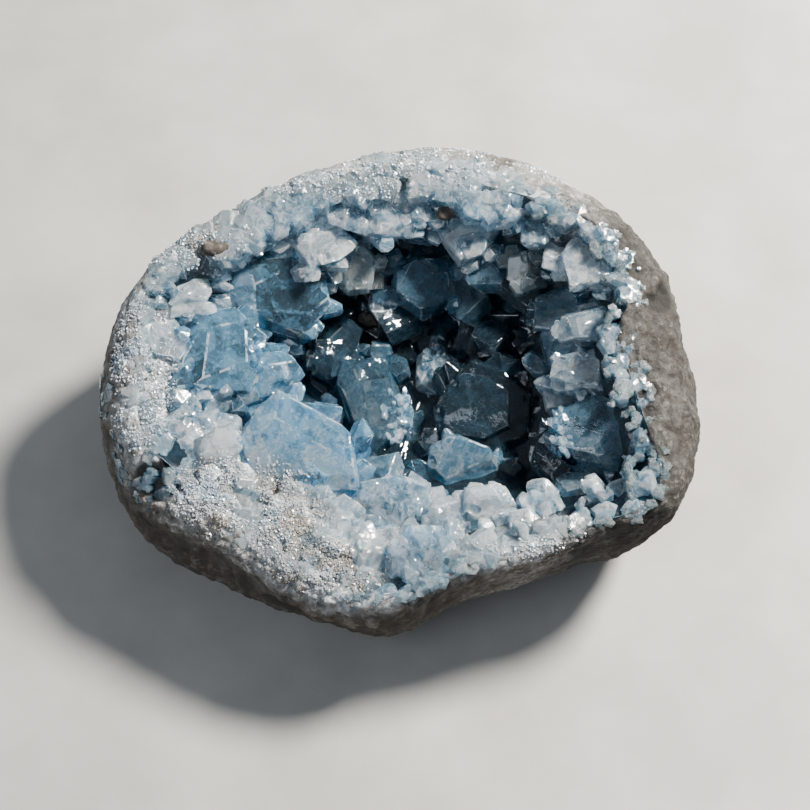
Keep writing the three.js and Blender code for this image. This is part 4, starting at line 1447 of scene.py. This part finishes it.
class Paint:
    """A material's nodes, with short ways to add and link them. Sizes are in millimetres."""

    def __init__(self, name):
        self.material = bpy.data.materials.new(name)
        self.material.use_nodes = True
        self.nodes = self.material.node_tree.nodes
        self.links = self.material.node_tree.links
        self.shader = self.nodes["Principled BSDF"]
        self.place = self.add("TexCoord").outputs["Object"]

    def put(self, value, socket):
        """Link a socket or set a plain value, where a colour may have three numbers."""
        if isinstance(value, bpy.types.NodeSocket):
            self.links.new(value, socket)
        elif isinstance(value, tuple) and len(socket.default_value) == 4:
            socket.default_value = (*value, 1)
        else:
            socket.default_value = value

    def add(self, kind, inputs=(), **settings):
        """A new node with its settings, and values for its inputs by name or number."""
        node = self.nodes.new("ShaderNode" + kind)
        for name, value in settings.items():
            setattr(node, name, value)
        for key, value in dict(inputs).items():
            self.put(value, node.inputs[key])
        return node

    def finish(self, inputs):
        for name, value in inputs.items():
            self.put(value, self.shader.inputs[name])
        return self.material

    def attributes(self, names):
        nodes = [self.add("Attribute", attribute_name=name) for name in names.split()]
        return [node.outputs["Fac"] for node in nodes]

    def mix(self, share, first, second, blend="MIX"):
        inputs = {0: share, 6: first, 7: second}
        return self.add("Mix", inputs, data_type="RGBA", blend_type=blend).outputs[2]

    def layered(self, colour, *layers):
        """A colour with others laid over it, each with its share."""
        for share, tint in layers:
            colour = self.mix(share, colour, tint)
        return colour

    def less(self, value, amount):
        return self.add("Math", {0: value, 1: amount}, operation="SUBTRACT").outputs[0]

    def times(self, first, *others):
        for other in others:
            first = self.add("Math", {0: first, 1: other}, operation="MULTIPLY").outputs[0]
        return first

    def total(self, start, *terms):
        """A start value plus each value times its factor, kept from 0 to 1."""
        for value, factor in terms:
            node = self.add("Math", {0: value, 1: factor, 2: start}, operation="MULTIPLY_ADD")
            start = node.outputs[0]
        node.use_clamp = True
        return start

    def spread(self, value, low, high, to_low=0, to_high=1):
        """The value's range from low to high, spread from to_low to to_high."""
        inputs = enumerate((value, low, high, to_low, to_high))
        return self.add("MapRange", inputs).outputs["Result"]

    def noise(self, size, detail=4, roughness=0.55, warp=0):
        inputs = {"Vector": self.place, "Scale": 1 / (size * MM), "Detail": detail}
        inputs |= {"Roughness": roughness, "Distortion": warp}
        return self.add("TexNoise", inputs).outputs["Fac"]

    def patches(self, noise, low, high, to_low=0, to_high=1):
        """Noise (size, detail, roughness, warp), spread into plain parts and patches."""
        return self.spread(self.noise(*noise), low, high, to_low, to_high)

    def cells(self, size, place, feature="F1"):
        """The outputs of a pattern of angular cells."""
        inputs = {"Vector": place, "Scale": 1 / (size * MM)}
        return self.add("TexVoronoi", inputs, feature=feature).outputs

    def vector(self, operation, first, second, index=1):
        inputs = {0: first, index: second}
        return self.add("VectorMath", inputs, operation=operation).outputs[0]

    def around_grey(self, colour, amount):
        """A colour's difference from middle grey, times an amount."""
        difference = self.vector("SUBTRACT", colour, (0.5, 0.5, 0.5))
        return self.vector("SCALE", difference, amount, "Scale")

    def wavy_place(self, size, amount):
        wave = self.add("TexNoise", {"Vector": self.place, "Scale": 1 / (size * MM)})
        return self.vector("ADD", self.place, self.around_grey(wave.outputs["Color"], amount * MM))

    def turned(self, normal, colour, amount):
        """A normal turned one way or another by a colour."""
        moved = self.vector("ADD", normal, self.around_grey(colour, amount))
        return self.vector("NORMALIZE", moved, (0, 0, 0))

    def bump(self, height, depth, under=None):
        inputs = {"Strength": 1, "Distance": depth * MM, "Height": height}
        return self.add("Bump", inputs | ({"Normal": under} if under else {})).outputs["Normal"]


def crystal_white(paint, milk, tone, wavy, flaws):
    """How white a crystal is: its own milk and facet, and clouds, wisps, flaws, fine lines and dots."""
    clouds = paint.patches((7, 5, 0.6, 1.2), 0.45, 0.56)
    wisps = paint.patches((2.2, 5, 0.7, 2), 0.51, 0.6)
    varied = paint.total(0, (clouds, 0.35), (wisps, 0.4), (flaws, 0.25))
    change = paint.times(paint.less(varied, 0.46), paint.spread(milk, 0.45, 0.7, 0.55, 1.15))
    cracks = paint.spread(paint.cells(6.5, wavy, "DISTANCE_TO_EDGE")["Distance"], 0.008, 0.02, 1, 0)
    cracks = paint.times(cracks, paint.patches((5, 3), 0.57, 0.62))
    dots = paint.spread(paint.cells(1.9, paint.place)["Distance"], 0.06, 0.09, 1, 0)
    return paint.total(-0.25, (milk, 1), (change, 1), (tone, 0.5), (cracks, 0.25), (dots, 0.3))


def crystal_normal(paint, milk, flaws, fine):
    """Slightly turned patches, broken sparkling areas, ripples and a fine grain."""
    plain = paint.add("NewGeometry").outputs["Normal"]
    broken = paint.patches((6, 4, 0.6, 0.8), 0.52, 0.6, 0, 0.8)
    broken = paint.times(broken, paint.spread(milk, 0.3, 0.6, 0.15, 1))
    chips = paint.cells(1.2, paint.wavy_place(1.5, 0.8))["Color"]
    normal = paint.turned(paint.turned(plain, flaws["Color"], 0.2), chips, broken)
    return paint.bump(fine, 0.06, paint.bump(paint.noise(2.6, 3), 0.2, normal))


def crystal_colour(paint, milk, tone, dark, white, worn_and_glint):
    """Deep blue where a crystal is clear, pale where it is white, with painted shade where it is marked
    dark, and white worn edges that are partly painted edge highlight.
    """
    stain, sugar = paint.attributes("stain sugar")
    middle = paint.mix(paint.spread(milk, 0.46, 0.75), (0.20, 0.41, 0.58), (0.35, 0.45, 0.52))
    grains = paint.patches((1.1, 5, 0.7), 0.38, 0.6, 0.3, 0.9)
    return paint.layered(
        paint.mix(paint.spread(white, 0, 0.35), (0.065, 0.11, 0.145), middle),
        (paint.spread(white, 0.35, 1), (0.90, 0.94, 0.96)),
        # Painted shade: the dark mark turns a crystal near-black blue.
        (paint.times(dark, paint.spread(tone, 0, 1, 0.97, 0.72)), (0.02, 0.038, 0.052)),
        (paint.times(stain, 0.8), (0.50, 0.50, 0.43)),
        # Partly real chipped edges, partly painted edge highlight.
        (paint.times(worn_and_glint, 0.5), (0.95, 0.97, 0.98)),
        (paint.times(sugar, grains), (0.60, 0.64, 0.66)),
    )


def crystal_material():
    """Blue celestite: part see-through with a blue absorption, part pale clouds."""
    paint = Paint("celestite_crystal")
    milk, tone, dark, frost, chipped, sugar = paint.attributes("milk tone dark frost chipped sugar")
    wavy = paint.wavy_place(5, 4)
    flaws = paint.cells(3.6, wavy)
    own_flaw = paint.add("SeparateColor", {0: flaws["Color"]}).outputs[0]
    white = crystal_white(paint, milk, tone, wavy, own_flaw)
    # White along the edge faces: partly real chipped, frosted edges and partly painted edge highlight.
    worn_and_glint = paint.times(chipped, paint.patches((4, 5), 0.5, 0.56), paint.spread(dark, 0, 1, 1, 0.3))
    fine = paint.noise(0.9, 4, 0.6)
    rough = paint.spread(fine, 0.4, 0.7, 0.03, 0.13)
    absorb = paint.add("VolumeAbsorption", {"Color": (0.55, 0.76, 0.88), "Density": 95})
    paint.put(absorb.outputs[0], paint.nodes["Material Output"].inputs["Volume"])
    paint.shader.subsurface_method = "BURLEY"
    return paint.finish({
        "Base Color": crystal_colour(paint, milk, tone, dark, white, worn_and_glint),
        "Roughness": paint.total(rough, (frost, 0.3), (worn_and_glint, 0.3), (sugar, 0.3)),
        "Normal": crystal_normal(paint, milk, flaws, fine),
        "Transmission Weight": 0.78,
        "Subsurface Weight": 1,
        "Subsurface Radius": (0.5, 0.8, 1),
        "Subsurface Scale": 0.003,
        "IOR": 1.62,
    })


def druse_material():
    """White sugary crystal, frosted and hardly see-through, darker low down and rusty in places."""
    paint = Paint("celestite_druse")
    height = paint.add("SeparateXYZ", {0: paint.place}).outputs[2]
    # Darker towards the bottom, from about 41 mm down to 33 mm over the floor, broken up by noise.
    darker_low_down = paint.total(paint.spread(height, 41 * MM, 33 * MM), (paint.noise(6), 1.6), (1, -1))
    rusty = paint.times(paint.patches((9, 5, 0.65), 0.55, 0.62), 0.6)
    colour = paint.mix(paint.patches((5,), 0.4, 0.65), (0.50, 0.53, 0.55), (0.27, 0.33, 0.39))
    return paint.finish({
        "Base Color": paint.layered(colour, (darker_low_down, (0.17, 0.15, 0.125)), (rusty, (0.26, 0.205, 0.145))),
        "Roughness": 0.25,
        "Transmission Weight": 0.2,
        "IOR": 1.62,
        "Normal": paint.bump(paint.noise(0.5), 0.05),
    })


def rock_colour(paint, brown, relief, near):
    """Grey with dun and dark specks, icy near the crystals, white on bumps, and painted shade in the
    hollows.
    """
    broad = paint.patches((9, 5, 0.65, 0.8), 0.42, 0.6)
    icy = paint.mix(paint.patches((2.1,), 0.42, 0.6), (0.42, 0.44, 0.455), (0.18, 0.23, 0.27))
    white = paint.patches((1.7, 5, 0.7, 0.6), 0.5, 0.66)
    white = paint.times(white, paint.spread(relief, -0.3, 0.4), paint.spread(brown, 0, 1, 1, 0.2))
    return paint.layered(
        paint.mix(broad, (0.20, 0.197, 0.187), (0.10, 0.093, 0.083)),
        (paint.patches((7, 5, 0.7, 1), 0.5, 0.62, 0, 0.85), (0.06, 0.043, 0.03)),
        (paint.patches((1.3, 5, 0.7), 0.5, 0.66), (0.04, 0.035, 0.03)),
        (paint.times(brown, 0.85), (0.036, 0.028, 0.02)),
        (near, icy),
        (paint.patches((3.2, 5, 0.7, 1), 0.55, 0.63, 0, 0.75), (0.13, 0.10, 0.075)),
        (white, (0.46, 0.46, 0.445)),
        (paint.times(brown, paint.spread(relief, 0.25, 0.9, 0, 0.8)), (0.20, 0.178, 0.152)),
        # Painted shade: dark where the relief sinks in.
        (paint.spread(relief, -0.1, -0.7, 0, 0.85), (0.03, 0.026, 0.021)),
    )


def rock_material():
    """Grey and white speckled matrix, dark brown on its front left and in small bits, and frosted near
    the crystals.
    """
    paint = Paint("geode_rock")
    rim, brown, relief, stony = paint.attributes("rim brown relief stony")
    frosted = paint.patches((3.5, 5, 0.65, 0.5), 0.42, 0.58, 0.1, 1)
    near = paint.times(rim, frosted, paint.spread(stony, 0, 1, 1, 0.15))
    colour = rock_colour(paint, brown, relief, near)
    coarse = paint.bump(paint.noise(1.6, 6, 0.7), 0.5)
    return paint.finish({
        "Base Color": paint.mix(stony, colour, paint.mix(1, colour, (0.22, 0.212, 0.197), "MULTIPLY")),
        "Roughness": paint.spread(near, 0, 1, 0.85, 0.4),
        "Normal": paint.bump(paint.noise(0.5, 4, 0.7), 0.18, coarse),
    })


def floor_material():
    paint = Paint("pale_floor")
    mottled = paint.patches((40, 5), 0.35, 0.65)
    colour = paint.mix(mottled, (0.235, 0.228, 0.215), (0.285, 0.277, 0.262))
    return paint.finish({"Base Color": colour, "Roughness": 0.8})


# Stage

TARGET = np.array((2.5, -3.9, 30.0))
CAMERA_DISTANCE = 394
CAMERA_ELEVATION = math.radians(60)
CAMERA_LENS = 70
CAMERA_SENSOR = 36
FLOOR_HALF = 900
KEY_DIRECTION = (0.58, 0.36, 0.73)
KEY_DISTANCE = 0.75
KEY_SIZE = 0.17
KEY_POWER = 28
KEY_COLOUR = (1, 0.96, 0.9)
FILL_OFFSET = (-0.5, -0.5, 0.7)
FILL_SIZE = 0.8
FILL_POWER = 5
FILL_COLOUR = (0.85, 0.92, 1)
WORLD_COLOUR = (0.78, 0.87, 1)
WORLD_STRENGTH = 0.3


def look_from(piece, place, target):
    piece.location = place
    piece.rotation_euler = (Vector(target) - Vector(place)).to_track_quat("-Z", "Y").to_euler()


def add_light(name, offset, size, power, colour):
    data = bpy.data.lights.new(name, "AREA")
    data.shape = "DISK"
    data.size = size
    data.energy = power
    data.color = colour
    look_from(new_object(name, data), TARGET * MM + offset, TARGET * MM)


def build_camera():
    data = bpy.data.cameras.new("camera")
    data.lens = CAMERA_LENS
    data.sensor_width = CAMERA_SENSOR
    camera = new_object("camera", data)
    back = np.array((0, -math.cos(CAMERA_ELEVATION), math.sin(CAMERA_ELEVATION))) * CAMERA_DISTANCE
    look_from(camera, (TARGET + back) * MM, TARGET * MM)
    bpy.context.scene.camera = camera


def build_world():
    world = bpy.data.worlds.new("studio")
    world.use_nodes = True
    background = world.node_tree.nodes["Background"].inputs
    background["Color"].default_value = (*WORLD_COLOUR, 1)
    background["Strength"].default_value = WORLD_STRENGTH
    bpy.context.scene.world = world
    bpy.context.scene.view_settings.look = "AgX - Medium High Contrast"


def build_stage():
    build_camera()
    corners = [(x * FLOOR_HALF, y * FLOOR_HALF, 0) for x, y in ((-1, -1), (1, -1), (1, 1), (-1, 1))]
    floor = make_object("floor", corners, [(0, 1, 2, 3)], floor_material())
    floor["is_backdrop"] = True
    add_light("key", unit(KEY_DIRECTION) * KEY_DISTANCE, KEY_SIZE, KEY_POWER, KEY_COLOUR)
    add_light("fill", FILL_OFFSET, FILL_SIZE, FILL_POWER, FILL_COLOUR)
    build_world()


build_stage()

rock = build_rock(rock_material())
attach(rock, "root")
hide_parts("rock_shell")

crystals = build_crystals(crystal_material())
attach(crystals, "root")
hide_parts("crystal_crust")

bits = rock_bits(rock.data.materials[0], (crystals, rock))
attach(bits, "root")

druse = build_druse(druse_material(), (rock, crystals))
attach(druse, "root")

[[list(map(float, corner)) for corner in box] for box in (cad_box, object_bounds())]
